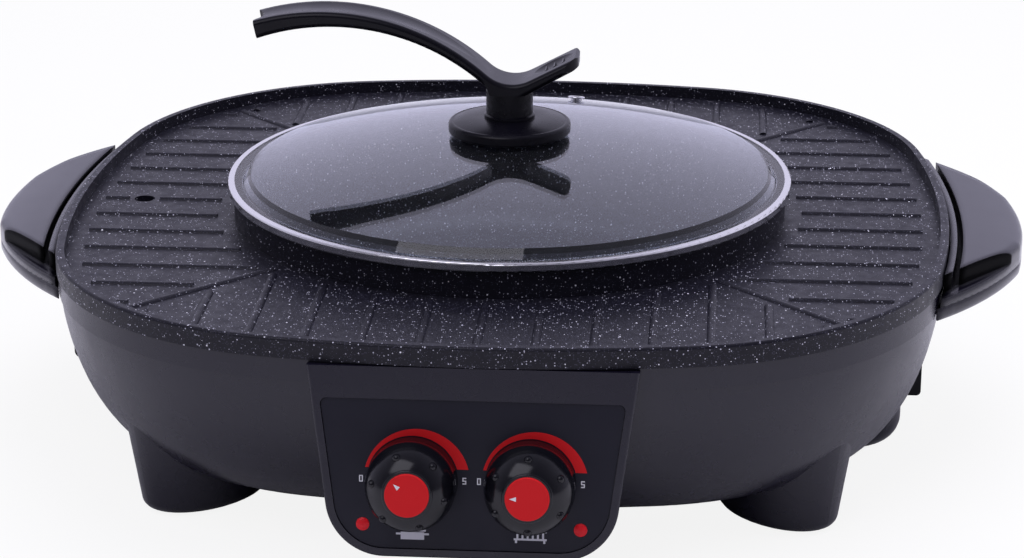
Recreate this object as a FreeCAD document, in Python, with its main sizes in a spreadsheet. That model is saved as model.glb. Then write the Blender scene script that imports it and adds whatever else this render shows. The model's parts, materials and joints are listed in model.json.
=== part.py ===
import FreeCAD, Part

import math
import os
import re

# Electric hot pot with a grill plate: a moulded base with two heating circuits, a lift-out pan
# whose centre is the pot and whose rim is the grill, and a domed glass lid with a standing handle.
# Millimetres. X runs to the right, Y to the back, Z up. The floor is Z = 0.
# Everything is drawn about the axis of the pot, and the last step moves it all along Y
# so that the origin is under the middle of the finished appliance.

SIZES = [
    # base
    ("base_clearance", 22, "floor to the underside of the bowl"),
    ("base_height", 87, "height of the bowl"),
    ("base_half", 231.5, "half the width of the bowl at its top"),
    ("base_bottom_half", 190, "half the width of the bowl at its bottom"),
    ("base_bulge", 1.8, "exponent of the bowl's side curve, 2 is an ellipse"),
    ("base_wall", 3, "wall of the bowl"),
    ("base_floor", 3, "floor of the bowl"),
    ("side_radius", 600, "radius of the pan's four long sides"),
    ("corner_radius", 150.5, "radius of the pan's four corners"),
    ("leg_spread_x", 144.5, "axis of a leg from the middle, sideways"),
    ("leg_spread_y", 138.5, "axis of a leg from the middle, front to back"),
    ("leg_long", 34, "a leg's oval at its foot, half its length along the diagonal"),
    ("leg_short", 23.5, "a leg's oval at its foot, half its width"),
    ("leg_flare", 8.5, "how much wider a leg's oval is at its root"),
    ("leg_edge", 5, "rounding of a leg's lower edge"),
    ("leg_root_height", 58, "height of the leg's root, inside the bowl"),
    ("foot_pad", 1.5, "thickness of a rubber foot"),
    ("foot_pad_inset", 6.5, "how far a rubber foot stays inside its leg"),
    ("base_band", 11, "height of the upright band at the top of the bowl"),
    ("pocket_reach", 210, "outer face of a side pocket from the middle"),
    ("pocket_half_right", 72, "half the length of the right side pocket"),
    ("pocket_half_left", 54, "half the length of the left side pocket"),
    ("pocket_corner", 27, "corner radius of a side pocket"),
    ("pocket_round", 14, "rounding under a side pocket"),
    ("pocket_underside", 4, "floor to the underside of a side pocket"),
    ("pocket_top", 60, "top of a side pocket, inside the bowl"),
    # pan
    ("seat_gap", 0.3, "gap under the pan and under the lid"),
    ("pan_half", 232.5, "half the width of the pan"),
    ("pan_band", 10.1, "height of the pan's outer band"),
    ("lip_width", 4.5, "width of the lip round the grill plate"),
    ("plate_drop", 6.7, "lip top down to the grill plate"),
    ("lip_round", 1.5, "rounding of the lip"),
    ("pot_radius", 141, "inner radius of the pot at its mouth"),
    ("pot_taper", 3, "how much narrower the pot's wall is at its foot"),
    ("pot_depth", 69, "mouth of the pot down to its floor"),
    ("pot_corner", 20, "radius between the pot's floor and wall"),
    ("pot_wall", 3, "wall of the pot"),
    ("collar_wall", 6, "wall of the raised collar round the pot"),
    ("collar_height", 14.3, "collar above the grill plate"),
    ("rib_width", 4.5, "width of a grill rib"),
    ("rib_height", 1.2, "height of a grill rib"),
    ("rib_pitch", 27.4, "distance between grill ribs"),
    ("rib_lip_gap", 9, "end of a rib to the lip"),
    ("rib_collar_gap", 9, "end of a rib to the collar"),
    ("drain_radius", 5.5, "radius of the fat drain"),
    ("drain_offset", 198, "fat drain from the middle"),
    ("spout_length", 22, "drain spout under the pan"),
    ("spout_wall", 2, "wall of the drain spout"),
    # lid
    ("lid_radius", 150, "outer radius of the lid's steel rim"),
    ("lid_rim_height", 4.7, "height of the steel rim"),
    ("lid_rim_width", 3.5, "how far the rim folds over the glass"),
    ("lid_rim_seat", 7.5, "how far the rim reaches under the glass"),
    ("lid_rim_sheet", 0.6, "thickness of the rim's steel"),
    ("glass_thickness", 3.5, "thickness of the glass"),
    ("dome_rise", 22, "top of the dome above the rim"),
    ("glass_step_radius", 138, "radius where the glass steps up"),
    ("glass_step_width", 4, "width of the step in the glass"),
    ("glass_step_rise", 4.5, "height of the step in the glass"),
    ("vent_radius", 4.8, "radius of the steam vent's flange"),
    ("vent_bore", 2, "radius of the steam hole"),
    ("vent_x", 30, "steam vent from the middle, sideways"),
    ("vent_y", 108, "steam vent from the middle, towards the back"),
    ("disc_radius", 32.5, "radius of the disc under the lid handle"),
    ("disc_edge", 4.6, "height of the disc's edge"),
    ("disc_height", 8.8, "height of the disc at the stem"),
    ("gasket_thickness", 1.2, "silicone washer under the disc"),
    ("gasket_radius", 24, "radius of the silicone washer"),
    ("stem_radius", 12.4, "radius of the stem"),
    ("stem_height", 14, "stem above the disc"),
    ("arm_width", 28, "width of the handle arm"),
    ("arm_thickness", 8, "thickness of the handle arm"),
    ("arm_crest", 43.2, "top of the arm above the stem"),
    ("arm_crest_x", 97, "crest of the arm from the stem"),
    ("arm_end_x", 134, "free end of the arm from the stem"),
    ("arm_top_radius", 130, "radius of the arm's upper side"),
    ("arm_under_radius", 120, "radius of the arm's underside"),
    ("arm_valley_radius", 19.8, "radius of the valley over the stem"),
    ("arm_valley_half", 11, "half the width of the valley over the stem"),
    ("arm_tail_length", 27, "straight top of the arm's tail"),
    ("arm_tail_angle", 27.5, "slope of the arm's tail in degrees"),
    ("arm_tail_tip", 3, "radius at the tip of the tail"),
    ("arm_tail_corner", 9, "corner radius of the tail, seen from above"),
    ("arm_dish", 0.9, "depth of the dish along the arm"),
    ("arm_dish_width", 20, "width of the dish along the arm"),
    ("arm_dish_run", 80, "crest of the arm to where the dish runs out"),
    ("arm_round", 2.4, "rounding of the arm's edges"),
    ("thumb_run", 14, "middle of the thumb hollow along the tail"),
    ("thumb_long", 11.5, "half the length of the thumb hollow"),
    ("thumb_wide", 8.5, "half the width of the thumb hollow"),
    ("thumb_deep", 1.5, "depth of the thumb hollow"),
    ("thumb_ridge", 0.9, "width of a ridge in the thumb hollow"),
    ("thumb_pitch", 5, "distance between the ridges in the thumb hollow"),
    ("notch_radius", 16, "radius of the notch in the free end"),
    ("notch_depth", 4, "depth of the notch in the free end"),
    ("lid_screw_radius", 2.5, "radius of the handle's screw"),
    # side handles
    ("handle_width", 39.5, "outer edge of a side handle beyond the pan"),
    ("handle_half_length", 115, "half the length of a side handle"),
    ("handle_root", 13.5, "where a side handle's outline leaves the bowl, inside the pan's edge"),
    ("handle_side_radius", 204, "radius of a side handle's outer curve"),
    ("handle_corner_radius", 200, "radius of the curves from there to the bowl"),
    ("handle_side_half", 40, "half the length of the outer curve"),
    ("handle_turn", 20, "radius of the soft corner between those curves"),
    ("handle_bottom", 93, "underside of a side handle"),
    ("handle_parting", 101, "parting line of a side handle"),
    ("handle_top", 115, "crest of a side handle"),
    ("handle_crown", 160, "radius of a side handle's crowned top"),
    ("handle_round", 4, "rounding of a side handle's outer edges"),
    ("handle_gap", 0.8, "gap between a side handle and the pan"),
    ("handle_wall", 3, "wall of a side handle"),
    ("groove_offset", 4.2, "flange between the pan and the groove"),
    ("groove_width", 3, "width of the groove in a side handle"),
    ("groove_depth", 9, "depth of the groove in a side handle"),
    ("wing_half_in", 106.5, "half the length of the raised wing, at its root under the pan"),
    ("wing_half_out", 38, "half the length of the raised wing, beyond its outer edge"),
    ("wing_wall", 2, "wall between the wing and the hollow end"),
    ("rim_band", 6, "width of the rim round the hollow ends"),
    ("rim_height", 4.5, "rim of the hollow ends above the parting line"),
    # control box
    ("box_centre_z", 58, "middle of the control panel above the floor"),
    ("box_centre_y", 238.6, "front of the control panel from the middle"),
    ("box_tilt", 8.1, "lean of the control panel in degrees"),
    ("box_half_top", 77.4, "half the width of the control box at its top"),
    ("box_half_bottom", 65.4, "half the width of the control box at its bottom"),
    ("box_up", 51.3, "control box above the panel's middle"),
    ("box_down", 40, "control box below the panel's middle"),
    ("box_top_corner", 3, "radius of the control panel's upper corners"),
    ("box_edge", 1.2, "rounding of the control box's front edges"),
    ("box_bottom_corner", 28, "radius of the control box's lower corners"),
    ("box_depth", 52, "depth of the control box"),
    ("box_wall", 2.6, "wall of the control box"),
    ("box_rim", 4, "frame of the control box round the panel"),
    ("box_rim_top", 15.3, "frame of the control box above the panel"),
    ("panel_thickness", 2.5, "thickness of the control panel"),
    ("panel_recess", 0.8, "how far the panel lies behind its frame"),
    ("panel_gap", 0.25, "gap round the control panel"),
    ("panel_ledge", 3, "ledge that carries the control panel"),
    ("knob_offset", 27.6, "axis of a knob from the middle"),
    ("knob_drop", 3, "axis of a knob below the panel's middle"),
    ("knob_radius", 21.2, "radius of a knob at its foot"),
    ("knob_height", 25.5, "height of a knob"),
    ("knob_gap", 0.6, "gap between a knob and the panel"),
    ("knob_cap_radius", 10.3, "radius of a knob's red cap"),
    ("knob_cap_thickness", 3, "thickness of a knob's red cap"),
    ("knob_nub_radius", 2, "radius of a grip nub"),
    ("knob_nubs", 6, "grip nubs round a knob"),
    ("pointer_left", 138, "where the left knob points, in degrees from the right"),
    ("pointer_right", 180, "where the right knob points, in degrees from the right"),
    ("shaft_radius", 3, "radius of a thermostat shaft"),
    ("shaft_clearance", 0.08, "running clearance of a thermostat shaft"),
    ("lamp_radius", 3.15, "radius of an indicator lamp"),
    ("lamp_offset", 51, "indicator lamp from the middle"),
    ("lamp_drop", 24.5, "indicator lamp below the panel's middle"),
    ("thermostat_width", 34, "width of a thermostat"),
    ("thermostat_height", 30, "height of a thermostat"),
    ("thermostat_depth", 26, "depth of a thermostat"),
    # heating
    ("element_radius", 4, "radius of a heating tube"),
    ("pot_element_ring", 95, "radius of the heating ring under the pot"),
    ("grill_element_half", 176, "half the width of the heating loop under the grill"),
    ("shield_radius", 160, "radius of the heat shield's bowl"),
    ("shield_sheet", 1, "thickness of the heat shield"),
    ("shield_floor", 30, "heat shield's floor above the ground"),
    ("shield_deck", 92, "heat shield's deck above the ground"),
    ("shield_half", 222, "half the width of the heat shield's deck"),
    ("post_x", 95, "posts of the heat shield from the middle, sideways"),
    ("post_y", 150, "posts of the heat shield from the middle, front to back"),
    ("post_radius", 6, "radius of a post"),
    ("clearance", 0.3, "loose fit between pieces"),
    # drip cup
    ("cup_half_width", 40, "half the width of the drip cup"),
    ("cup_depth", 34, "inner end of the drip cup to the face of its pocket"),
    ("cup_bottom", 20, "underside of the drip cup"),
    ("cup_top", 61, "top of the drip cup"),
    ("cup_wall", 2, "wall of the drip cup"),
    ("cup_pull", 22, "edge of the drip cup's pull beyond its pocket"),
    ("cup_pull_bottom", 34, "underside of the drip cup's pull"),
    ("cup_pull_height", 8.5, "height of the drip cup's pull"),
    ("housing_wall", 2.5, "wall of the drip cup's housing"),
    ("chimney_wall", 2, "wall of the tube above the drip cup"),
    # power inlet
    ("inlet_proud", 12.3, "mouth of the power inlet beyond its pocket"),
    ("inlet_depth", 25, "depth of the power inlet"),
    ("inlet_half_width", 18, "half the width of the power inlet"),
    ("inlet_bottom", 17.3, "underside of the power inlet"),
    ("inlet_top", 47.3, "top of the power inlet"),
    ("inlet_wall", 4, "wall of the power inlet"),
    ("inlet_edge", 2.5, "rounding of the power inlet's mouth"),
    ("inlet_pin_radius", 2.2, "radius of an inlet pin"),
    ("inlet_pin_offset", 8, "inlet pin from the middle"),
    # fasteners
    ("screw_radius", 1.8, "radius of a case screw"),
    ("screw_head_radius", 3.6, "radius of a case screw's head"),
    ("screw_head", 2.2, "height of a case screw's head"),
    ("cover_radius", 146, "radius of the bottom cover"),
    ("cover_thickness", 2.4, "thickness of the bottom cover"),
    ("cover_lap", 10, "how far the bottom cover laps over the bowl's floor"),
]

RIGHT, LEFT = 1, -1
BOWL_ANGLES = (0, 15, 30, 45, 60, 75, 90)
RIB_ROWS = range(-6, 7)
QUARTERS = ((1, 1), (-1, 1), (-1, -1), (1, -1))

doc = FreeCAD.newDocument("HotPot")
sheet = doc.addObject("Spreadsheet::Sheet", "sizes")
ALIASES = {alias for alias, _, _ in SIZES}


# ---------------------------------------------------------------- sizes and expressions

def fill_sheet():
    for row, (alias, value, meaning) in enumerate(SIZES, 1):
        sheet.set(f"A{row}", meaning)
        sheet.set(f"B{row}", str(value))
        sheet.setAlias(f"B{row}", alias)
    doc.recompute()


def formula(text):
    """The expression with each size name pointing at the sheet."""
    return re.sub(r"[a-z_]+", lambda m: f"sizes.{m[0]}" if m[0] in ALIASES else m[0], str(text))


def number(text):
    """The value that an expression has now."""
    return float(sheet.evalExpression(formula(text)))


def bind(obj, **properties):
    """Ties properties to expressions. A double underscore stands for a dot."""
    for name, text in properties.items():
        obj.setExpression(name.replace("__", "."), formula(text))
    return obj


def place(obj, x=0, y=0, z=0, axis=(0, 0, 1), angle=0):
    obj.Placement = FreeCAD.Placement(FreeCAD.Vector(), FreeCAD.Rotation(FreeCAD.Vector(*axis), angle))
    return bind(obj, Placement__Base__x=x, Placement__Base__y=y, Placement__Base__z=z)


# heights that several pieces share
BASE_TOP = "(base_clearance + base_height)"
PAN_SEAT = f"({BASE_TOP} + seat_gap)"
LIP_TOP = f"({PAN_SEAT} + pan_band)"
PLATE_TOP = f"({LIP_TOP} - plate_drop)"
COLLAR_TOP = f"({PLATE_TOP} + collar_height)"
POT_FLOOR = f"({COLLAR_TOP} - pot_depth)"
LID_SEAT = f"({COLLAR_TOP} + seat_gap)"
RIM_PLANE = f"({LID_SEAT} + lid_rim_height)"
GLASS_SEAT = f"({LID_SEAT} + lid_rim_sheet)"
DOME_TOP = f"({RIM_PLANE} + dome_rise)"
DISC_SEAT = f"({DOME_TOP} + gasket_thickness)"
STEM_FOOT = f"({DISC_SEAT} + disc_height)"
STEM_TOP = f"({STEM_FOOT} + stem_height)"
COLLAR_RADIUS = "(pot_radius + collar_wall)"
FLOOR_TOP = "(base_clearance + base_floor)"
HANDLE_REACH = "(pan_half + handle_width)"
CUP_INNER = "(pocket_reach - cup_depth)"
INLET_MOUTH = "(pocket_reach + inlet_proud)"
RIB_RADIUS = "((rib_width ^ 2 / 4 + rib_height ^ 2) / (2 * rib_height))"


# ---------------------------------------------------------------- primitives and booleans

def box(name, size, at):
    """A box centred on at in X and Y and standing on its Z."""
    obj = bind(doc.addObject("Part::Box", name), Length=size[0], Width=size[1], Height=size[2])
    return place(obj, f"{at[0]} - ({size[0]}) / 2", f"{at[1]} - ({size[1]}) / 2", at[2])


def cylinder(name, radius, height, at=(0, 0, 0), axis=(0, 0, 1), angle=0):
    obj = bind(doc.addObject("Part::Cylinder", name), Radius=radius, Height=height)
    return place(obj, *at, axis, angle)


def oval(name, long, short, at, angle):
    """A level ellipse whose longer axis points along angle."""
    ring = bind(doc.addObject("Part::Ellipse", name), MajorRadius=long, MinorRadius=short)
    return place(ring, *at, (0, 0, 1), angle)


def loft(name, sections, ruled):
    obj = doc.addObject("Part::Loft", name)
    obj.Sections = sections
    obj.Solid = True
    obj.Ruled = ruled
    return obj


def rounded(name, base, radius, chosen):
    """The base shape with the edges rounded for which chosen(edge) is true."""
    doc.recompute()
    obj = doc.addObject("Part::Fillet", name)
    obj.Base = base
    size = number(radius)
    obj.Edges = [(i, size, size) for i, edge in enumerate(base.Shape.Edges, 1) if chosen(edge)]
    return obj


def fuse(name, *shapes):
    obj = doc.addObject("Part::MultiFuse", name)
    obj.Shapes = list(shapes)
    obj.Refine = True
    return obj


def common(name, *shapes):
    obj = doc.addObject("Part::MultiCommon", name)
    obj.Shapes = list(shapes)
    return obj


def cut(name, base, *tools):
    obj = doc.addObject("Part::Cut", name)
    obj.Base = base
    obj.Tool = tools[0] if len(tools) == 1 else fuse(name + "_tools", *tools)
    obj.Refine = True
    return obj


def group(name, *shapes):
    """Separate solids in one sub-part."""
    obj = doc.addObject("Part::Compound", name)
    obj.Links = list(shapes)
    return obj


def mirrored(name, source, normal):
    obj = doc.addObject("Part::Mirroring", name)
    obj.Source = source
    obj.Normal = FreeCAD.Vector(*normal)
    return obj


# ---------------------------------------------------------------- sketches and bodies

def new_body(name):
    return doc.addObject("PartDesign::Body", name)


def new_sketch(body, role, offset=0):
    """A sketch on one of the body's origin planes, moved along the plane's normal."""
    sketch = body.newObject("Sketcher::SketchObject", body.Name + "_sketch")
    origin_plane = next(f for f in body.Origin.OriginFeatures if f.Role == role)
    sketch.AttachmentSupport = [(origin_plane, "")]
    sketch.MapMode = "FlatFace"
    return bind(sketch, AttachmentOffset__Base__z=offset)


def arc_between(start, end, radius):
    """The short arc from start to end; a positive radius turns left."""
    chord = end - start
    rise = math.sqrt(max(radius * radius - chord.Length ** 2 / 4, 0))
    side = math.copysign(1, radius)
    normal = FreeCAD.Vector(-chord.y, chord.x, 0).normalize()
    centre = (start + end) / 2 + normal * (rise * side)
    middle = centre - normal * (abs(radius) * side)
    return Part.ArcOfCircle(start, middle, end)


def outline(sketch, corners):
    """A closed outline. A corner is (x, y), or (x, y, radius) when an arc runs on to the next."""
    points = [FreeCAD.Vector(number(c[0]), number(c[1]), 0) for c in corners]
    pieces = []
    for i, corner in enumerate(corners):
        end = points[(i + 1) % len(points)]
        radius = number(corner[2]) if len(corner) > 2 else 0
        piece = arc_between(points[i], end, radius) if radius else Part.LineSegment(points[i], end)
        pieces.append((sketch.addGeometry(piece, False), radius))
    for i, (piece, radius) in enumerate(pieces):
        # an arc that turns right is stored from its far end
        first = 2 if radius < 0 else 1
        pin(sketch, piece, first, corners[i])
        following, turn = pieces[(i + 1) % len(pieces)]
        tie = ("Coincident", piece, 3 - first, following, 2 if turn < 0 else 1)
        sketch.addConstraint(_constraint(*tie))
        if radius:
            index = sketch.addConstraint(_constraint("Radius", piece, abs(radius)))
            sketch.setExpression(f"Constraints[{index}]", formula(f"abs({corners[i][2]})"))
    return sketch


def _constraint(*values):
    import Sketcher
    return Sketcher.Constraint(*values)


def pin(sketch, piece, end, corner):
    """Holds one end of a piece at a point that the sizes give."""
    for kind, text in (("DistanceX", corner[0]), ("DistanceY", corner[1])):
        index = sketch.addConstraint(_constraint(kind, -1, 1, piece, end, number(text)))
        sketch.setExpression(f"Constraints[{index}]", formula(text))


def pad(body, sketch, length, both_ways=False, reverse=False):
    feature = body.newObject("PartDesign::Pad", body.Name + "_pad")
    feature.Profile = sketch
    feature.Midplane = both_ways
    feature.Reversed = reverse
    return bind(feature, Length=length)


def round_edges(body, base, radius, chosen):
    """Rounds the edges of the base feature for which chosen(edge) is true."""
    doc.recompute()
    names = [f"Edge{i}" for i, edge in enumerate(base.Shape.Edges, 1) if chosen(edge)]
    feature = body.newObject("PartDesign::Fillet", body.Name + "_round")
    feature.Base = (base, names)
    return bind(feature, Radius=radius)


def lathe(name, corners):
    """A body turned about Z from an outline of (radius, height) corners."""
    body = new_body(name)
    sketch = outline(new_sketch(body, "XZ_Plane"), corners)
    feature = body.newObject("PartDesign::Revolution", name + "_turn")
    feature.Profile = sketch
    feature.ReferenceAxis = (sketch, ["V_Axis"])
    feature.Angle = 360
    return body


def prism(name, corners, foot, height):
    """A body that stands on Z = foot with a plan of straight lines and arcs."""
    body = new_body(name)
    sketch = outline(new_sketch(body, "XY_Plane", foot), corners)
    pad(body, sketch, height)
    return body


def is_upright(edge):
    return abs(edge.tangentAt(edge.FirstParameter).z) > 0.99


def lies_at(height):
    return lambda edge: edge.BoundBox.ZLength < 1e-4 and abs(edge.BoundBox.ZMin - height) < 1e-4


# ---------------------------------------------------------------- the rounded square plan

def rounded_square(half, inset=0, sides="side_radius", corners="corner_radius"):
    """Corners of a square with bowed sides and round corners, in step with the pan's plan."""
    share = number(half) / number("pan_half")
    side = number(sides) * share
    corner = number(corners) * share
    bow = side - number(half)
    reach = side - corner
    middle = (math.sqrt(2 * reach ** 2 - bow ** 2) - bow) / 2
    along = side - number(inset)
    x = along * (middle + bow) / reach - bow
    y = along * middle / reach
    points = [(x, y), (y, x), (-y, x), (-x, y), (-x, -y), (-y, -x), (y, -x), (x, -y)]
    radii = [corner - number(inset), along] * 4
    return [(px, py, radius) for (px, py), radius in zip(points, radii)]


def square_prism(name, half, inset, foot, height):
    return prism(name, rounded_square(half, inset), foot, height)


def bowl_section(name, angle, inset, lift):
    """One level of the bowl: angle 0 is the rim and 90 the bottom."""
    depth = f"sin({angle}) ^ (2 / base_bulge)"
    width = f"cos({angle}) ^ (2 / base_bulge)"
    half = f"base_bottom_half + (base_half - base_bottom_half) * {width}"
    height = f"{BASE_TOP} - (base_height - {lift}) * {depth}"
    sketch = doc.addObject("Sketcher::SketchObject", name)
    outline(sketch, rounded_square(half, inset))
    return place(sketch, z=height)


def bowl(name, inset, lift):
    """The bowl's outer form, or its hollow when it is inset and lifted."""
    return loft(name, [bowl_section(f"{name}_{angle}", angle, inset, lift) for angle in BOWL_ANGLES], False)


def bowl_band(name, inset):
    """The upright band round the top of the bowl."""
    return square_prism(name, "base_half", inset, f"{BASE_TOP} - base_band", "base_band")


# ---------------------------------------------------------------- base

def leg_oval(name, corner, inset, wider, height):
    """One level of a leg, with its longer axis towards the middle of the base."""
    sx, sy = corner
    size = f"{wider} - {inset}"
    at = (f"{sx} * leg_spread_x", f"{sy} * leg_spread_y", height)
    return oval(name, f"leg_long + {size}", f"leg_short + {size}", at, math.degrees(math.atan2(sy, sx)))


def legs(name, inset, foot):
    """The four legs, each from its oval foot to its wider root inside the bowl."""
    made = []
    for i, corner in enumerate(QUARTERS):
        low = leg_oval(f"{name}_foot_{i}", corner, inset, 0, foot)
        high = leg_oval(f"{name}_root_{i}", corner, inset, "leg_flare", "leg_root_height")
        made.append(loft(f"{name}_{i}", [low, high], True))
    return made


def rounded_legs():
    foot = lies_at(number("foot_pad"))
    return [rounded(f"{leg.Name}_soft", leg, "leg_edge", foot) for leg in legs("leg", 0, "foot_pad")]


def pocket(name, side, half_length, inset):
    """The block that bulges out of the bowl's flank down to the floor."""
    body = new_body(name)
    reach = f"{side} * (pocket_reach - {inset})"
    root = f"{side} * (base_bottom_half - 40)"
    end = f"({half_length} - {inset})"
    corners = [(root, f"-{end}"), (reach, f"-{end}"), (reach, end), (root, end)]
    if side == LEFT:
        corners.reverse()
    foot = f"pocket_underside + {inset}"
    sketch = outline(new_sketch(body, "XY_Plane", foot), corners)
    block = pad(body, sketch, f"pocket_top - {foot}")
    face, back = number(reach), number(root)
    outer = round_edges(body, block, f"pocket_corner - {inset}",
                        lambda e: is_upright(e) and abs(e.BoundBox.XMin - face) < 1e-3)
    low = number(foot)
    round_edges(body, outer, f"pocket_round - {inset}",
                lambda e: lies_at(low)(e) and abs(e.BoundBox.Center.x - back) > 1)
    return body


def cup_space(name, grow):
    """The room of the drip cup, from its inner end out through the flank."""
    length = f"(cup_depth + 30 + {grow})"
    width = f"2 * (cup_half_width + {grow})"
    height = f"cup_top - cup_bottom + 2 * {grow}"
    at = (f"-({CUP_INNER} - {grow}) - {length} / 2", 0, f"cup_bottom - {grow}")
    return box(name, (length, width, height), at)


def base_outside():
    """The base as a solid: the bowl, its four legs and the pockets in its flanks."""
    return fuse("base_outer", bowl("bowl_outer", 0, 0), bowl_band("band_outer", 0), *rounded_legs(),
                pocket("pocket_right", RIGHT, "pocket_half_right", 0),
                pocket("pocket_left", LEFT, "pocket_half_left", 0))


def base_inside():
    """The hollow of the base, as a solid."""
    return fuse("base_inner", bowl("bowl_inner", "base_wall", "base_floor"),
                *legs("leg_core", "base_wall", "foot_pad + base_wall"),
                pocket("pocket_core_right", RIGHT, "pocket_half_right", "base_wall"),
                pocket("pocket_core_left", LEFT, "pocket_half_left", "base_wall"))


def cup_guide(inside):
    """The box that the drip cup slides in, with the tube above it, fitted into the left pocket."""
    housing = common("guide_housing", inside, cup_space("guide_block", "housing_wall + clearance"))
    chimney = cylinder("guide_chimney", "drain_radius + spout_wall + 2 + chimney_wall",
                       "shield_deck - 2 - cup_top", ("-drain_offset", 0, "cup_top + clearance"))
    bore = cylinder("guide_bore", "drain_radius + spout_wall + 2", "shield_deck - cup_top + 4",
                    ("-drain_offset", 0, "cup_top - 2"))
    built = fuse("guide_built", housing, chimney)
    return cut("cup_guide", built, cup_space("guide_cavity", "clearance"), bore)


def base_shell(outside, inside):
    shell = cut("base_hollowed", outside, inside)
    posts = [
        cylinder(f"shield_post_{i}", "post_radius", f"shield_deck - {FLOOR_TOP} + 1",
                 (f"{sx} * post_x", f"{sy} * post_y", f"{FLOOR_TOP} - 1"))
        for i, (sx, sy) in enumerate(QUARTERS)
    ]
    post_holes = [
        cylinder(f"shield_post_hole_{i}", "screw_radius", 12,
                 (f"{sx} * post_x", f"{sy} * post_y", "shield_deck - 10"))
        for i, (sx, sy) in enumerate(QUARTERS)
    ]
    openings = [
        cup_space("cup_window", "clearance"),
        cylinder("floor_opening", "cover_radius - cover_lap", "base_floor + 2",
                 (0, 0, "base_clearance - 1")),
        box("control_window", ("4 * knob_offset", "3 * base_wall + 30", "thermostat_height + 10"),
            (0, "-(base_half - 12)", "box_centre_z - knob_drop - thermostat_height / 2 - 5")),
        box("inlet_window", ("inlet_depth + 20", "2 * (inlet_half_width + clearance)",
                             "inlet_top - inlet_bottom + 2 * clearance"),
            (INLET_MOUTH, 0, "inlet_bottom - clearance")),
        *cover_screw_holes("shell_screw_hole"),
        *handle_screw_holes("shell_handle_hole"),
        *post_holes,
    ]
    return cut("base_shell", fuse("base_built", shell, *posts), *openings)


def rubber_feet():
    """A flat pad under each leg, a little narrower at the floor."""
    pads = []
    for i, corner in enumerate(QUARTERS):
        low = leg_oval(f"foot_low_{i}", corner, "foot_pad_inset", -0.5, 0)
        top = leg_oval(f"foot_top_{i}", corner, "foot_pad_inset", 0, "foot_pad")
        pads.append(loft(f"foot_{i}", [low, top], True))
    return group("rubber_feet", *pads)


def cover_screw_places():
    middle = "((cover_radius - cover_lap / 2) * sqrt(0.5))"
    return [(f"{sx} * {middle}", f"{sy} * {middle}") for sx, sy in QUARTERS]


def cover_screw_holes(name):
    return [
        cylinder(f"{name}_{i}", "screw_radius + 0.1", "base_floor + cover_thickness + 2",
                 (x, y, "base_clearance - cover_thickness - 1"))
        for i, (x, y) in enumerate(cover_screw_places())
    ]


def bottom_cover():
    plate = cylinder("cover_plate", "cover_radius", "cover_thickness",
                     (0, 0, "base_clearance - cover_thickness"))
    slots = [
        box(f"vent_slot_{i}", (60, 4, "cover_thickness + 2"),
            (f"{side} * 60", f"{row} * 12", "base_clearance - cover_thickness - 1"))
        for i, (side, row) in enumerate([(s, r) for s in (LEFT, RIGHT) for r in (-3, -2, -1, 0, 1, 2, 3)])
    ]
    return cut("bottom_cover", plate, *cover_screw_holes("cover_hole"), *slots)


def cover_screws():
    under = "base_clearance - cover_thickness"
    screws = []
    for i, (x, y) in enumerate(cover_screw_places()):
        head = cylinder(f"cover_screw_head_{i}", "screw_head_radius", "screw_head",
                        (x, y, f"{under} - screw_head"))
        shank = cylinder(f"cover_screw_shank_{i}", "screw_radius", "base_floor + cover_thickness",
                         (x, y, f"{under} - 0.1"))
        screws.append(fuse(f"cover_screw_{i}", head, shank))
    return group("cover_screws", *screws)


def shield_screws():
    top = "(shield_deck + shield_sheet)"
    screws = []
    for i, (sx, sy) in enumerate(QUARTERS):
        x, y = f"{sx} * post_x", f"{sy} * post_y"
        head = cylinder(f"shield_screw_head_{i}", "screw_head_radius", "screw_head", (x, y, top))
        shank = cylinder(f"shield_screw_shank_{i}", "screw_radius - 0.1", "9", (x, y, f"{top} - 8.9"))
        screws.append(fuse(f"shield_screw_{i}", head, shank))
    return group("shield_screws", *screws)


# ---------------------------------------------------------------- heating

def heat_shield():
    r, t = "shield_radius", "shield_sheet"
    tray = lathe("shield_tray", [
        (0, "shield_floor"), (f"{r} - 8", "shield_floor", 8), (r, "shield_floor + 8"), (r, "shield_deck"),
        (f"{r} + 6", "shield_deck"), (f"{r} + 6", f"shield_deck + {t}"),
        (f"{r} - {t}", f"shield_deck + {t}"), (f"{r} - {t}", "shield_floor + 8", f"-(8 - {t})"),
        (f"{r} - 8", f"shield_floor + {t}"), (0, f"shield_floor + {t}")])
    deck = square_prism("shield_deck_plate", "shield_half", 0, "shield_deck", t)
    mouth = cylinder("shield_mouth", f"{r} - {t}", 10, (0, 0, "shield_deck - 5"))
    chimney_hole = cylinder("shield_chimney_hole", "drain_radius + spout_wall + 3 + chimney_wall", 10,
                            ("-drain_offset", 0, "shield_deck - 5"))
    screw_holes = [
        cylinder(f"shield_screw_hole_{i}", "screw_radius + 0.1", 10,
                 (f"{sx} * post_x", f"{sy} * post_y", "shield_deck - 5"))
        for i, (sx, sy) in enumerate(QUARTERS)
    ]
    grill_pins = [
        cylinder(f"shield_grill_pin_hole_{i}", "element_radius + 1", 10, (x, y, "shield_deck - 5"))
        for i, (x, y) in enumerate(grill_pin_places())
    ]
    pot_pins = [
        cylinder(f"shield_pot_pin_hole_{i}", "element_radius + 1", 10, (x, y, "shield_floor - 5"))
        for i, (x, y) in enumerate(pot_pin_places())
    ]
    deck = cut("shield_deck_cut", deck, mouth, chimney_hole, *screw_holes, *grill_pins)
    return cut("heat_shield", fuse("shield_blank", tray, deck), *pot_pins)


def grill_pin_places():
    return [("grill_element_half", "14"), ("grill_element_half", "-14")]


def pot_pin_places():
    return [("pot_element_ring * 0.99", "12"), ("pot_element_ring * 0.99", "-12")]


def element_height(underside):
    return f"({underside} - clearance - element_radius)"


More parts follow.
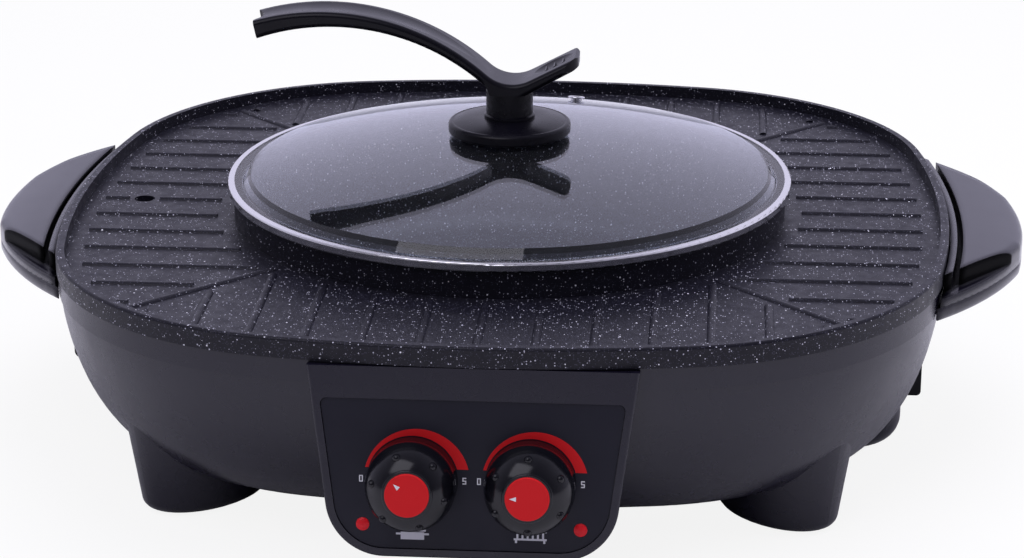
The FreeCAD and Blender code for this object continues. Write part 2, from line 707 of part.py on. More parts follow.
def pot_heating_element():
    height = element_height(f"({POT_FLOOR} - pot_wall)")
    ring = doc.addObject("Part::Torus", "pot_ring")
    bind(ring, Radius1="pot_element_ring", Radius2="element_radius")
    place(ring, z=height)
    pins = [
        cylinder(f"pot_pin_{i}", "element_radius - 1", f"{height} - shield_floor + 3",
                 (x, y, "shield_floor - 3"))
        for i, (x, y) in enumerate(pot_pin_places())
    ]
    return fuse("pot_heating_element", ring, *pins)


def grill_heating_element():
    """A loop in the pan's plan: a round section swept once round it, with two straight pins."""
    height = element_height(PAN_SEAT)
    corners = rounded_square("grill_element_half")
    path = doc.addObject("Sketcher::SketchObject", "grill_path")
    outline(path, corners)
    place(path, z=height)
    radius = number("element_radius")
    section = doc.addObject("Sketcher::SketchObject", "grill_section")
    circle = section.addGeometry(Part.Circle(FreeCAD.Vector(), FreeCAD.Vector(0, 0, 1), radius))
    index = section.addConstraint(_constraint("Radius", circle, radius))
    section.setExpression(f"Constraints[{index}]", formula("element_radius"))
    start_x, start_y, _ = corners[0]
    heading = math.degrees(math.asin(start_y / corners[1][2]))
    place(section, start_x, start_y, height)
    upright = FreeCAD.Rotation(FreeCAD.Vector(1, 0, 0), 90)
    section.Placement.Rotation = FreeCAD.Rotation(FreeCAD.Vector(0, 0, 1), heading) * upright
    sweep = doc.addObject("Part::Sweep", "grill_loop")
    sweep.Sections = [section]
    doc.recompute()
    sweep.Spine = (path, [f"Edge{i}" for i in range(1, len(path.Shape.Edges) + 1)])
    sweep.Solid = True
    sweep.Frenet = True
    pins = [
        cylinder(f"grill_pin_{i}", "element_radius - 1", f"{height} - shield_deck + 16",
                 (x, y, "shield_deck - 16"))
        for i, (x, y) in enumerate(grill_pin_places())
    ]
    return fuse("grill_heating_element", sweep, *pins)


def element_supports():
    grill_under = f"({element_height(PAN_SEAT)} - element_radius - clearance)"
    pot_under = f"({element_height(f'({POT_FLOOR} - pot_wall)')} - element_radius - clearance)"
    deck = "(shield_deck + shield_sheet)"
    floor = "(shield_floor + shield_sheet)"
    blocks = []
    for i, (sx, sy) in enumerate(((1, 0), (0, 1), (-1, 0), (0, -1))):
        blocks.append(box(f"grill_support_{i}", (10, 10, f"{grill_under} - {deck}"),
                          (f"{sx} * grill_element_half", f"{sy} * grill_element_half", deck)))
        blocks.append(box(f"pot_support_{i}", (10, 10, f"{pot_under} - {floor}"),
                          (f"{sx} * pot_element_ring", f"{sy} * pot_element_ring", floor)))
    return group("element_supports", *blocks)


# ---------------------------------------------------------------- pan

def plan_reach(across, inset):
    """How far the plate reaches along X at a distance across from the middle line."""
    half, side, corner = number("pan_half"), number("side_radius"), number("corner_radius")
    bow, reach = side - half, side - corner
    middle = (math.sqrt(2 * reach ** 2 - bow ** 2) - bow) / 2
    if abs(across) <= side * middle / reach:
        return math.sqrt((side - inset) ** 2 - across ** 2) - bow
    return middle + math.sqrt((corner - inset) ** 2 - (abs(across) - middle) ** 2)


def rib_span(row):
    """Where the rib of this row starts and ends, measured outwards from the middle."""
    across = abs(row) * number("rib_pitch")
    collar = number(f"{COLLAR_RADIUS} + rib_collar_gap")
    start = max(math.sqrt(max(collar ** 2 - across ** 2, 0)), across + number("rib_width * 2.2"))
    end = plan_reach(across, number("lip_width + rib_lip_gap"))
    return start, end


def rib(name, across, start, end, angle):
    """A round bar sunk into the plate, so that a low rib shows; it points outwards along angle."""
    turn = FreeCAD.Rotation(FreeCAD.Vector(0, 0, 1), angle)
    foot = turn.multVec(FreeCAD.Vector(start, number(across), 0))
    middle = f"{PLATE_TOP} + rib_height - {RIB_RADIUS}"
    bar = cylinder(name, RIB_RADIUS, end - start, (foot.x, foot.y, middle))
    bar.Placement.Rotation = turn * FreeCAD.Rotation(FreeCAD.Vector(0, 1, 0), 90)
    return bar


def grill_ribs():
    """Rows of ribs on all four sides and one in each corner."""
    rows = [(f"{row} * rib_pitch", *rib_span(row)) for row in RIB_ROWS]
    corner = (0, number(f"{COLLAR_RADIUS} + rib_collar_gap"), plan_corner())
    bars = []
    for quarter in range(4):
        bars += [rib(f"rib_{quarter}_{i}", *row, 90 * quarter) for i, row in enumerate(rows)]
        bars.append(rib(f"rib_corner_{quarter}", *corner, 90 * quarter + 45))
    above = box("rib_level", ("2 * pan_half", "2 * pan_half", 10), (0, 0, f"{PLATE_TOP} - 1"))
    return common("pan_ribs", fuse("pan_rib_bars", *bars), above)


def plan_corner():
    """Reach of the plate towards a corner of the square."""
    half, side, corner = number("pan_half"), number("side_radius"), number("corner_radius")
    bow, reach = side - half, side - corner
    middle = (math.sqrt(2 * reach ** 2 - bow ** 2) - bow) / 2
    return middle * math.sqrt(2) + corner - number("lip_width + rib_lip_gap")


def pot_profile():
    r, foot, wall = "pot_radius", "(pot_radius - pot_taper)", "pot_wall"
    under = f"({POT_FLOOR} - {wall})"
    bend = f"({POT_FLOOR} + pot_corner)"
    return [
        (0, under), (f"{foot} - pot_corner", under, f"pot_corner + {wall}"), (f"{foot} + {wall}", bend),
        (f"{r} + {wall}", PAN_SEAT), (COLLAR_RADIUS, PAN_SEAT), (COLLAR_RADIUS, f"{COLLAR_TOP} - 1.5", 1.5),
        (f"{COLLAR_RADIUS} - 1.5", COLLAR_TOP), (r, COLLAR_TOP), (foot, bend, "-pot_corner"),
        (f"{foot} - pot_corner", POT_FLOOR), (0, POT_FLOOR)]


def grill_pan():
    body = square_prism("pan_blank", "pan_half", 0, PAN_SEAT, "pan_band")
    round_edges(body, body.Tip, "lip_round", lies_at(number(LIP_TOP)))
    dish = square_prism("pan_dish", "pan_half", "lip_width", PLATE_TOP, "plate_drop + 1")
    mouth = cylinder("pan_mouth", f"{COLLAR_RADIUS} - 1", "pan_band + 2", (0, 0, f"{PAN_SEAT} - 1"))
    plate = cut("pan_plate", body, dish, mouth)
    pot = lathe("pan_pot", pot_profile())
    spout = cylinder("pan_spout", "drain_radius + spout_wall", "spout_length + 1",
                     ("-drain_offset", 0, f"{PAN_SEAT} - spout_length"))
    drain = cylinder("pan_drain", "drain_radius", "spout_length + 20",
                     ("-drain_offset", 0, f"{PAN_SEAT} - spout_length - 1"))
    landing = cylinder("pan_drain_landing", "drain_radius + 3", "rib_height + 1",
                       ("-drain_offset", 0, PLATE_TOP))
    ribs = cut("pan_ribs_clear", grill_ribs(), landing)
    return cut("grill_pan", fuse("pan_built", plate, pot, ribs, spout), drain)


# ---------------------------------------------------------------- lid

def dome_radius():
    """Radius of the sphere that runs from the step up to the top of the dome."""
    rise = "(dome_rise - glass_step_rise + lid_rim_sheet)"
    return f"((glass_step_radius ^ 2 + {rise} ^ 2) / (2 * {rise}))"


def lid_glass():
    t = "glass_thickness"
    edge = "(lid_radius - lid_rim_sheet - 0.1)"
    low, high = GLASS_SEAT, f"({GLASS_SEAT} + {t})"
    step_in, step_out = "glass_step_radius", "(glass_step_radius + glass_step_width)"
    ball = dome_radius()
    glass = lathe("glass_blank", [
        (0, f"{DOME_TOP} - {t}"), (0, DOME_TOP, f"-{ball}"), (step_in, f"{high} + glass_step_rise"),
        (step_out, high), (edge, high), (edge, low), (step_out, low),
        (step_in, f"{low} + glass_step_rise", f"{ball}")])
    hole = cylinder("glass_hole", "lid_screw_radius + 1.5", 30, (0, 0, f"{DOME_TOP} - 20"))
    wide = "(vent_bore + 1.3)"
    vent = lathe("glass_vent_hole", [(0, -15), (wide, -15), (wide, 5), (0, 5)])
    return cut("lid_glass", glass, hole, stand_on_dome(vent))


def lid_rim():
    r, t = "lid_radius", "lid_rim_sheet"
    fold, seat = "(lid_radius - lid_rim_width)", "(lid_radius - lid_rim_seat)"
    low, high = LID_SEAT, f"({GLASS_SEAT} + glass_thickness)"
    return lathe("lid_rim", [
        (seat, low), (f"{r} - 1", low, 1), (r, f"{low} + 1"), (r, f"{RIM_PLANE} - 1", 1),
        (f"{r} - 1", RIM_PLANE), (fold, RIM_PLANE), (fold, high), (f"{r} - {t}", high),
        (f"{r} - {t}", GLASS_SEAT), (seat, GLASS_SEAT)])


def dome_height_at(radius):
    ball = number(dome_radius())
    return number(DOME_TOP) - ball + math.sqrt(ball ** 2 - radius ** 2)


def stand_on_dome(piece):
    """Stands a turned piece on the glass where the steam vent is, square to the glass."""
    radius = math.hypot(number("vent_x"), number("vent_y"))
    lean_out = math.degrees(math.asin(radius / number(dome_radius())))
    across = (-number("vent_y"), number("vent_x"), 0)
    return place(piece, "vent_x", "vent_y", dome_height_at(radius), across, lean_out)


def steam_vent():
    flange, bore, wall = "vent_radius", "vent_bore", 1
    grommet = lathe("steam_vent", [
        (bore, -7), (f"{bore} + {wall}", -7), (f"{bore} + {wall}", "clearance + 0.8"),
        (flange, "clearance + 0.8"), (flange, "clearance + 1.3", 0.6),
        (f"{flange} - 0.6", "clearance + 1.9"), (bore, "clearance + 1.9")])
    return stand_on_dome(grommet)


def lid_gasket():
    return lathe("lid_gasket", [
        ("lid_screw_radius + 1.5", f"{DOME_TOP} + 0.05"), ("gasket_radius", f"{DOME_TOP} + 0.05"),
        ("gasket_radius", DISC_SEAT), ("lid_screw_radius + 1.5", DISC_SEAT)])


def lid_knob():
    bore = "(lid_screw_radius + 0.1)"
    edge = f"({DISC_SEAT} + disc_edge)"
    return lathe("lid_knob", [
        (bore, DISC_SEAT), ("disc_radius - 1.2", DISC_SEAT, 1.2), ("disc_radius", f"{DISC_SEAT} + 1.2"),
        ("disc_radius", edge, 2), ("disc_radius - 2.5", f"{edge} + 1.3", 60),
        ("stem_radius + 1", f"{STEM_FOOT} - 0.6"), ("stem_radius + 1", f"{STEM_FOOT} + 0.8"),
        ("stem_radius", f"{STEM_FOOT} + 1.4"), ("stem_radius", STEM_TOP), (bore, STEM_TOP)])


def arm_joint():
    """Where the straight lines of the arm and the tail meet the valley, and the tip of the tail."""
    half, tail = number("arm_valley_half"), math.radians(number("arm_tail_angle"))
    radius, run = number("arm_top_radius"), number("arm_crest_x - arm_valley_half")
    left = number(f"{STEM_TOP} + arm_crest - arm_top_radius") + math.sqrt(radius ** 2 - run ** 2)
    right = left - 2 * half * math.tan((math.asin(run / radius) - tail) / 2)
    length = number("arm_tail_length")
    return left, right, half + length * math.cos(tail), right + length * math.sin(tail)


def arm_corners():
    """Side view of the arm: its upper line from the tail to the free end, and back underneath."""
    left, right, tip_x, tip_z = arm_joint()
    half, t = number("arm_valley_half"), number("arm_thickness")
    tail = math.radians(number("arm_tail_angle"))
    crest, crest_x, end_x = number(f"{STEM_TOP} + arm_crest"), number("arm_crest_x"), number("arm_end_x")
    top, under, under_x = number("arm_top_radius"), number("arm_under_radius"), crest_x - 5
    end_top = crest - top + math.sqrt(top ** 2 - (end_x - crest_x) ** 2)
    end_under = crest - t - under + math.sqrt(under ** 2 - (end_x - 2 - under_x) ** 2)
    foot = crest - t - under + math.sqrt(under ** 2 - (under_x - half) ** 2)
    lip = (tip_x + t * 0.75 * math.sin(tail) - 1, tip_z - t * 0.75 * math.cos(tail), "arm_tail_tip")
    return [
        ("-stem_radius + 3", STEM_TOP), ("stem_radius - 3", STEM_TOP), lip, (tip_x, tip_z),
        (half, right, "-arm_valley_radius"), (-half, left, "arm_top_radius"), (-end_x, end_top),
        (-end_x + 2, end_under, "-arm_under_radius"), (-half, foot)]


def lid_handle():
    """The arm: a wide strap that rises from the stem to a level grip, with a thumb tail behind."""
    top = number(STEM_TOP)
    body = new_body("arm_strap")
    sketch = outline(new_sketch(body, "XZ_Plane"), arm_corners())
    strap = pad(body, sketch, "arm_width", both_ways=True)
    round_edges(body, strap, "arm_round", lambda e: abs(e.BoundBox.YLength) < 1e-3
                and e.BoundBox.XLength > 12 and e.BoundBox.ZMax > top + 8)
    crest = f"({STEM_TOP} + arm_crest)"
    notch_at = "-(arm_end_x + notch_radius - notch_depth)"
    notch = cylinder("arm_notch", "notch_radius", 40, (notch_at, 0, f"{crest} - 30"))
    bore = cylinder("arm_bore", "lid_screw_radius + 0.1", 4.2, (0, 0, f"{STEM_TOP} - 1"))
    shaped = common("arm_shaped", body, arm_plan())
    hollowed = cut("arm_hollowed", shaped, arm_dish(), thumb_hollow(), notch, bore)
    return fuse("lid_handle", hollowed, *thumb_ridges())


def arm_plan():
    """The arm seen from above, with the round end of its tail."""
    tip, wide = f"({arm_joint()[2]} + 2)", "(arm_width / 2)"
    r, end = "arm_tail_corner", "-(arm_end_x + 5)"
    return prism("arm_plan", [
        (end, f"-{wide}"), (f"{tip} - {r}", f"-{wide}", r), (tip, f"-{wide} + {r}"),
        (tip, f"{wide} - {r}", r), (f"{tip} - {r}", wide), (end, wide)],
        f"{STEM_TOP} - 1", "arm_crest + 10")


def arm_dish():
    """A shallow channel along the arm's upper side that runs out before the valley."""
    rise = "(arm_top_radius - sqrt(arm_top_radius ^ 2 - arm_dish_run ^ 2) - arm_dish)"
    ring = f"((arm_dish_run ^ 2 + {rise} ^ 2) / (2 * {rise}))"
    half = "(arm_dish_width / 2)"
    channel = lathe("arm_dish_ring", [
        (f"{ring} + arm_dish", f"-{half}"), (f"{ring} + 6", f"-{half}"), (f"{ring} + 6", half),
        (f"{ring} + arm_dish", half, f"({half} ^ 2 + arm_dish ^ 2) / (2 * arm_dish)")])
    place(channel, "-arm_crest_x", 0, f"{STEM_TOP} + arm_crest - arm_dish - {ring}", (1, 0, 0), 90)
    length = "(arm_dish_run + arm_end_x - arm_crest_x + 10)"
    stretch = box("arm_dish_stretch", (length, "arm_width", "2 * arm_crest"),
                  (f"arm_dish_run - arm_crest_x - {length} / 2", 0, STEM_TOP))
    return common("arm_dish_channel", channel, stretch)


def on_tail(piece, along, depth):
    """Moves a piece to the upper side of the tail, with its X axis along it."""
    right = arm_joint()[1]
    x = f"arm_valley_half + ({along}) * cos(arm_tail_angle) + {depth} * sin(arm_tail_angle)"
    z = f"{right} + ({along}) * sin(arm_tail_angle) - {depth} * cos(arm_tail_angle)"
    return place(piece, x, 0, z, (0, 1, 0), -number("arm_tail_angle"))


def thumb_hollow():
    """The part of a thick wheel that presses a leaf-shaped hollow into the tail."""
    wheel = "(thumb_long ^ 2 / (2 * thumb_deep) + thumb_deep / 2)"
    tread = "(thumb_wide ^ 2 / (2 * thumb_deep) + thumb_deep / 2)"
    half = "(thumb_wide + 1)"
    edge = f"({wheel} - {tread} + sqrt({tread} ^ 2 - {half} ^ 2))"
    disc = lathe("thumb_wheel", [(0, f"-{half}"), (edge, f"-{half}", tread), (edge, half), (0, half)])
    on_tail(disc, "thumb_run", f"(thumb_deep - {wheel})")
    disc.Placement.Rotation = FreeCAD.Rotation(FreeCAD.Vector(1, 0, 0), 90)
    reach = box("thumb_reach", ("3 * thumb_long", "arm_width", "arm_crest"),
                ("arm_valley_half + 0.5 + 1.5 * thumb_long", 0, STEM_TOP))
    return common("thumb_hollow", disc, reach)


def thumb_ridges():
    """Three low bars across the thumb hollow."""
    ridges = []
    for i, step in enumerate((-1, 0, 1)):
        ridge = doc.addObject("Part::Box", f"thumb_ridge_{i}")
        bind(ridge, Length="thumb_ridge", Width="thumb_wide", Height="thumb_deep")
        on_tail(ridge, f"thumb_run + {step} * thumb_pitch - thumb_ridge / 2", "(thumb_deep + 0.5)")
        ridges.append(bind(ridge, Placement__Base__y="-thumb_wide / 2"))
    return ridges


def lid_washer():
    under = f"({DOME_TOP} - glass_thickness - clearance)"
    bore = "(lid_screw_radius + 0.3)"
    return lathe("lid_washer", [
        (bore, f"{under} - 1.5"), ("stem_radius", f"{under} - 1.5"), ("stem_radius", under), (bore, under)])


def lid_screw():
    under = f"({DOME_TOP} - glass_thickness - clearance - 1.5)"
    head = "(lid_screw_radius * 2.4)"
    return lathe("lid_screw", [
        (0, f"{under} - 3"), (f"{head} - 2", f"{under} - 3", 3), (head, f"{under} - 1"), (head, under),
        ("lid_screw_radius", under), ("lid_screw_radius", f"{STEM_TOP} + 2"), (0, f"{STEM_TOP} + 2")])


# ---------------------------------------------------------------- side handles

def handle_plan(inset):
    """Outline of the right handle, from its back root round to its front root."""
    side, root = "handle_side_half", "handle_half_length"
    bow = f"(handle_side_radius - sqrt(handle_side_radius ^ 2 - {side} ^ 2))"
    x = f"({HANDLE_REACH} - {inset} - {bow})"
    leave = "(pan_half - handle_root)"
    inner = f"({leave} - 20)"
    end = f"({root} - {inset})"
    return [
        (inner, f"-{end}"), (leave, f"-{end}", "handle_corner_radius"),
        (x, f"-{side}", "handle_side_radius"), (x, side, "handle_corner_radius"),
        (leave, end), (inner, end)]


def handle_block(name, foot, height):
    """A block with the right handle's outline and soft corners."""
    body = prism(name, handle_plan(0), foot, height)
    beyond = number("pan_half") + 10
    round_edges(body, body.Tip, "handle_turn", lambda e: is_upright(e) and e.BoundBox.XMin > beyond)
    return body


def beside_pan(name, gap, foot, height):
    """Everything inside the pan's plan, to trim a handle to its side."""
    return square_prism(name, "pan_half", f"-({gap})", foot, height)


def beyond_wing(name, wall, foot, height):
    """The two corners of the handle, beyond the ends of the raised wing."""
    inner, outer = "(pan_half - 12)", f"({HANDLE_REACH} + 3)"
    ends = []
    for end, label in ((1, "back"), (-1, "front")):
        far = f"{end} * (handle_half_length + 10)"
        corners = [
            (inner, f"{end} * (wing_half_in + {wall})"), (outer, f"{end} * (wing_half_out + {wall})"),
            (outer, far), (inner, far)]
        if end < 0:
            corners.reverse()
        ends.append(prism(f"{name}_{label}", corners, foot, height))
    return ends


def handle_hollows(name, foot, height):
    """The hollow ends, inside a narrow rim."""
    inside = prism(f"{name}_inside", handle_plan("rim_band"), foot, height)
    return common(name, inside, fuse(f"{name}_ends", *beyond_wing(name, "wing_wall", foot, height)))


def handle_crown():
    """What lies above the crowned top of the right handle."""
    start, end = "(pan_half + groove_offset)", f"({HANDLE_REACH} + 10)"
    fall = f"(handle_crown - sqrt(handle_crown ^ 2 - ({end} - {start}) ^ 2))"
    body = new_body("cover_crown")
    sketch = outline(new_sketch(body, "XZ_Plane"), [
        (start, "handle_top", "-handle_crown"), (end, f"handle_top - {fall}"), (end, "handle_top + 10"),
        (start, "handle_top + 10")])
    pad(body, sketch, "4 * handle_half_length", both_ways=True)
    return body


def handle_cover():
    """The upper shell of the right handle."""
    blank = handle_block("cover_blank", "handle_parting", "handle_top - handle_parting")
    low, outer = number("handle_parting") + 1, number("pan_half") + 10
    crowned = cut("cover_crowned", blank, handle_crown())
    soft = rounded("cover_soft", crowned, "handle_round",
                   lambda e: e.BoundBox.ZMin > low and e.BoundBox.XMax > outer
                   and 20 < e.BoundBox.YLength < 100)
    groove_outer = square_prism("groove_outer", "pan_half", "-(groove_offset + groove_width)",
                                "handle_top - groove_depth", "groove_depth + 5")
    groove_inner = square_prism("groove_inner", "pan_half", "-groove_offset",
                                "handle_top - groove_depth - 1", "groove_depth + 7")
    groove = cut("groove", groove_outer, groove_inner)
    trim = beside_pan("cover_trim", "handle_gap", "handle_parting - 1", "handle_top")
    ends = beyond_wing("wing_end", 0, "handle_parting + rim_height", "handle_top - handle_parting")
    hollow = handle_hollows("cover_hollow", "handle_parting - 1", "handle_top")
    return cut("handle_cover_right", soft, groove, trim, *ends, hollow)


def handle_base():
    """The lower shell of the right handle: a tray that closes the cover from below."""
    blank = handle_block("tray_blank", "handle_bottom", "handle_parting - handle_bottom")
    low, outer = number("handle_bottom"), number("pan_half") + 10
    soft = rounded("tray_soft", blank, "handle_round",
                   lambda e: lies_at(low)(e) and e.BoundBox.XMax > outer
                   and e.Curve.TypeId == "Part::GeomCircle")
    inside = prism("tray_inside", handle_plan("handle_wall"),
                   "handle_bottom + handle_wall", "handle_parting")
    wall = beside_pan("tray_wall", "handle_gap + handle_wall", "handle_bottom", "handle_parting")
    hollow = cut("tray_hollow", inside, wall)
    trim = beside_pan("tray_trim", "base_half - pan_half + clearance", "handle_bottom - 1", "handle_top")
    return cut("handle_tray_right", soft, hollow, trim, *handle_screw_holes("tray_hole"))


def handle_screw_places():
    return [(side, y) for side in (RIGHT, LEFT) for y in (-40, 40)]


def handle_screw_holes(name):
    return [
        cylinder(f"{name}_{i}", "screw_radius + 0.2", 24,
                 (f"{side} * base_half - 12", y, "handle_bottom + 5"), (0, 1, 0), 90)
        for i, (side, y) in enumerate(handle_screw_places())
    ]


def handle_screws():
    screws = []
    for i, (side, y) in enumerate(handle_screw_places()):
        inner = f"{side} * (base_half - base_wall - 2.6)"
        head = cylinder(f"handle_screw_head_{i}", "screw_head_radius", "screw_head",
                        (inner, y, "handle_bottom + 5"), (0, 1, 0), -90 * side)
        shank = cylinder(f"handle_screw_shank_{i}", "screw_radius", 9,
                         (f"{inner} - {side} * 0.1", y, "handle_bottom + 5"), (0, 1, 0), 90 * side)
        screws.append(fuse(f"handle_screw_{i}", head, shank))
    return group("handle_screws", *screws)


# ---------------------------------------------------------------- control box

def lean(obj, along="0", up="0", out="0"):
    """Puts a piece that is drawn facing forwards on the leaning panel."""
    x = f"({along})"
    y = f"-box_centre_y + ({up}) * sin(box_tilt) - ({out}) * cos(box_tilt)"
    z = f"box_centre_z + ({up}) * cos(box_tilt) + ({out}) * sin(box_tilt)"
    return place(obj, x, y, z, (1, 0, 0), -number("box_tilt"))


def panel_plan(inset, top_inset=None):
    """Corners of the control box's front, wider at the top."""
    top = top_inset if top_inset is not None else inset
    shift = f"({inset}) * 1.01"
    widen = "(box_half_top - box_half_bottom) / (box_up + box_down)"
    high, low = f"(box_up - ({top}))", f"(box_down - ({inset}))"
    wide = f"(box_half_top - {shift} - ({top}) * {widen})"
    narrow = f"(box_half_bottom - {shift} + ({inset}) * {widen})"
    return [(f"-{narrow}", f"-{low}"), (narrow, f"-{low}"), (wide, high), (f"-{wide}", high)]


def panel_slab(name, inset, front, back, top_inset=None, outside=False):
    """A slab with the front's outline between two distances in front of the panel's face."""
    body = new_body(name)
    sketch = outline(new_sketch(body, "XZ_Plane", front), panel_plan(inset, top_inset))
    slab = pad(body, sketch, f"({front}) - ({back})", reverse=True)
    corner = f"max(box_bottom_corner - ({inset}); 2)"
    low = -number("box_down") + number(inset) + 1
    lower = round_edges(body, slab, corner, lambda e: e.BoundBox.YLength > 1 and e.BoundBox.ZMax < low)
    if outside:
        face, high = slab.Shape.BoundBox.YMin, number("box_up") - 1
        round_edges(body, lower, "box_edge", lambda e: abs(e.BoundBox.YMax - face) < 1e-4
                    and e.BoundBox.ZMin < high)
    else:
        round_edges(body, lower, "box_top_corner", lambda e: e.BoundBox.YLength > 1
                    and e.BoundBox.XLength < 1e-3 and e.BoundBox.ZMin > 0)
    return lean(body)


def control_box():
    outer = panel_slab("box_outer", 0, "panel_recess", "-box_depth", outside=True)
    ledge = "panel_thickness + box_wall"
    seat = panel_slab("box_seat", "box_rim", "panel_recess + 1", "-panel_thickness", "box_rim_top")
    window = panel_slab("box_window", "box_rim + panel_ledge", "1", f"-({ledge} + 1)",
                        "box_rim_top + panel_ledge")
    inside = panel_slab("box_inside", "box_wall", f"-({ledge})", "-(box_depth + 1)")
    nest = fuse("box_nest", bowl("box_nest_bowl", "-clearance", "-clearance"),
                bowl_band("box_nest_band", "-clearance"))
    bosses = [
        cylinder(f"box_boss_{i}", 6, 10, (x, "-box_centre_y + 16", "box_centre_z - box_down - 3.5"))
        for i, x in enumerate((-50, -7))
    ]
    walls = cut("box_walls", fuse("box_blank", outer, *bosses), seat, window, inside)
    return cut("control_box", walls, nest)


def control_panel():
    plate = panel_slab("panel_plate", "box_rim + panel_gap", "0", "-panel_thickness",
                       "box_rim_top + panel_gap")
    holes = []
    for side, name in ((LEFT, "left"), (RIGHT, "right")):
        shaft = cylinder(f"panel_shaft_hole_{name}", "shaft_radius + 0.6", 20, axis=(1, 0, 0), angle=90)
        lamp = cylinder(f"panel_lamp_hole_{name}", "lamp_radius + 0.1", 20, axis=(1, 0, 0), angle=90)
        for hole, along, up in ((shaft, "knob_offset", "-knob_drop"), (lamp, "lamp_offset", "-lamp_drop")):
            lean(hole, f"{side} * {along}", up, -10)
            hole.Placement.Rotation = panel_turn(90)
            holes.append(hole)
    return cut("control_panel", plate, *holes)


def panel_turn(angle=0):
    """Rotation of a piece on the panel, first turned about X by angle."""
    return FreeCAD.Rotation(FreeCAD.Vector(1, 0, 0), angle - number("box_tilt"))


def on_panel(piece, side, along, up, out=0):
    """Stands a piece that is turned about Z on the panel, with its Z pointing forwards."""
    lean(piece, f"{side} * {along}", up, out)
    piece.Placement.Rotation = panel_turn(90)
    return piece


def thermostat(side, name):
    across, high, deep = "thermostat_width", "thermostat_height", "thermostat_depth"
    case = box(f"thermostat_case_{name}", (across, high, deep), (0, 0, f"-panel_thickness - {deep}"))
    bore = cylinder(f"thermostat_bore_{name}", "shaft_radius + shaft_clearance", deep,
                    (0, 0, f"-panel_thickness - {deep} + 2"))
    return on_panel(cut(f"thermostat_{name}", case, bore), side, "knob_offset", "-knob_drop")


def indicator_lamp(side, name):
    r = "lamp_radius"
    lamp = lathe(f"indicator_lamp_{name}", [
        (0, -12), (f"{r} - 0.6", -12), (f"{r} - 0.6", "-panel_thickness"), (r, "-panel_thickness"),
        (r, 0.3, f"({r} ^ 2 + 1) / 2"), (0, 1.3)])
    return on_panel(lamp, side, "lamp_offset", "-lamp_drop")


def knob_parts(side, name):
    """A knob with grip nubs, its cap and its shaft, all standing on the panel."""
    r, h, gap = "knob_radius", "(knob_height + knob_gap)", "knob_gap"
    seat = f"({h} - knob_cap_thickness + 1)"
    bore = "(shaft_radius + 0.05)"
    skirt = lathe(f"knob_skirt_{name}", [
        (bore, gap), (r, gap), (f"{r} - 0.6", f"{gap} + 5", 17), ("knob_cap_radius + 1.6", f"{h} - 0.8", 1),
        ("knob_cap_radius + 0.8", h), ("knob_cap_radius + 0.1", h), ("knob_cap_radius + 0.1", seat),
        (bore, seat)])
    nubs = []
    count = int(number("knob_nubs"))
    ring = f"({r} - 4.2)"
    for i in range(count):
        nub = bind(doc.addObject("Part::Sphere", f"nub_{name}_{i}"), Radius="knob_nub_radius")
        angle = f"pointer_{name} + 360 / {count} * {i + 0.5}"
        place(nub, f"{ring} * cos({angle})", f"{ring} * sin({angle})", f"{gap} + knob_height * 0.79")
        nubs.append(nub)
    knob = on_panel(fuse(f"knob_{name}", skirt, *nubs), side, "knob_offset", "-knob_drop")
    wide, under = "knob_cap_radius", f"({seat} + 0.05)"
    cap = lathe(f"knob_cap_{name}", [
        (0, under), (wide, under), (wide, f"{h} + 0.4", 0.6), (f"{wide} - 0.6", f"{h} + 1"),
        (0, f"{h} + 1")])
    on_panel(cap, side, "knob_offset", "-knob_drop")
    end = "(4 - panel_thickness - thermostat_depth)"
    shaft = lathe(f"knob_shaft_{name}", [
        (0, end), ("shaft_radius", end), ("shaft_radius", f"{seat} - 0.1"), (0, f"{seat} - 0.1")])
    on_panel(shaft, side, "knob_offset", "-knob_drop")
    return [knob, cap, shaft]


# ---------------------------------------------------------------- drip cup and power inlet

def drip_cup(base_outer):
    outer = common("cup_outer", base_outer, cup_space("cup_block", 0))
    length = "(cup_depth - 2 * cup_wall - 3)"
    hollow = box("cup_hollow", (length, "2 * (cup_half_width - cup_wall)", "cup_top - cup_bottom"),
                 (f"-{CUP_INNER} - cup_wall - {length} / 2", 0, "cup_bottom + cup_wall"))
    return cut("drip_cup", fuse("cup_blank", outer, cup_pull()), hollow)


def cup_pull():
    """A ledge with a rounded edge across the front of the drip cup."""
    inner, edge = "-(pocket_reach - 4)", "-(pocket_reach + cup_pull)"
    low, high = "cup_pull_bottom", "(cup_pull_bottom + cup_pull_height)"
    body = new_body("cup_pull")
    sketch = outline(new_sketch(body, "XZ_Plane"), [
        (f"{edge} + 4", low), (inner, low), (inner, high), (f"{edge} + 2", high, 2), (edge, f"{high} - 2"),
        (edge, f"{low} + 4", 4)])
    pad(body, sketch, "2 * (cup_half_width - 2)", both_ways=True)
    return body


def power_inlet():
    length, width, height = "inlet_depth", "2 * inlet_half_width", "inlet_top - inlet_bottom"
    case = box("inlet_case", (length, width, height),
               (f"{INLET_MOUTH} - inlet_depth / 2", 0, "inlet_bottom"))
    mouth = number(INLET_MOUTH) - 0.1
    soft = rounded("inlet_soft", case, "inlet_edge",
                   lambda e: e.BoundBox.XMin > mouth and e.BoundBox.YLength > 1)
    depth = "(inlet_depth - 10)"
    socket = box("inlet_socket", (depth, f"{width} - 2 * inlet_wall", f"{height} - 2 * inlet_wall"),
                 (f"{INLET_MOUTH} - {depth} / 2 + 0.5", 0, "inlet_bottom + inlet_wall"))
    pins = [
        pin_rod(f"inlet_pin_hole_{i}", side, "inlet_pin_radius + 0.02")
        for i, side in enumerate((LEFT, RIGHT))
    ]
    return cut("power_inlet", soft, socket, *pins)


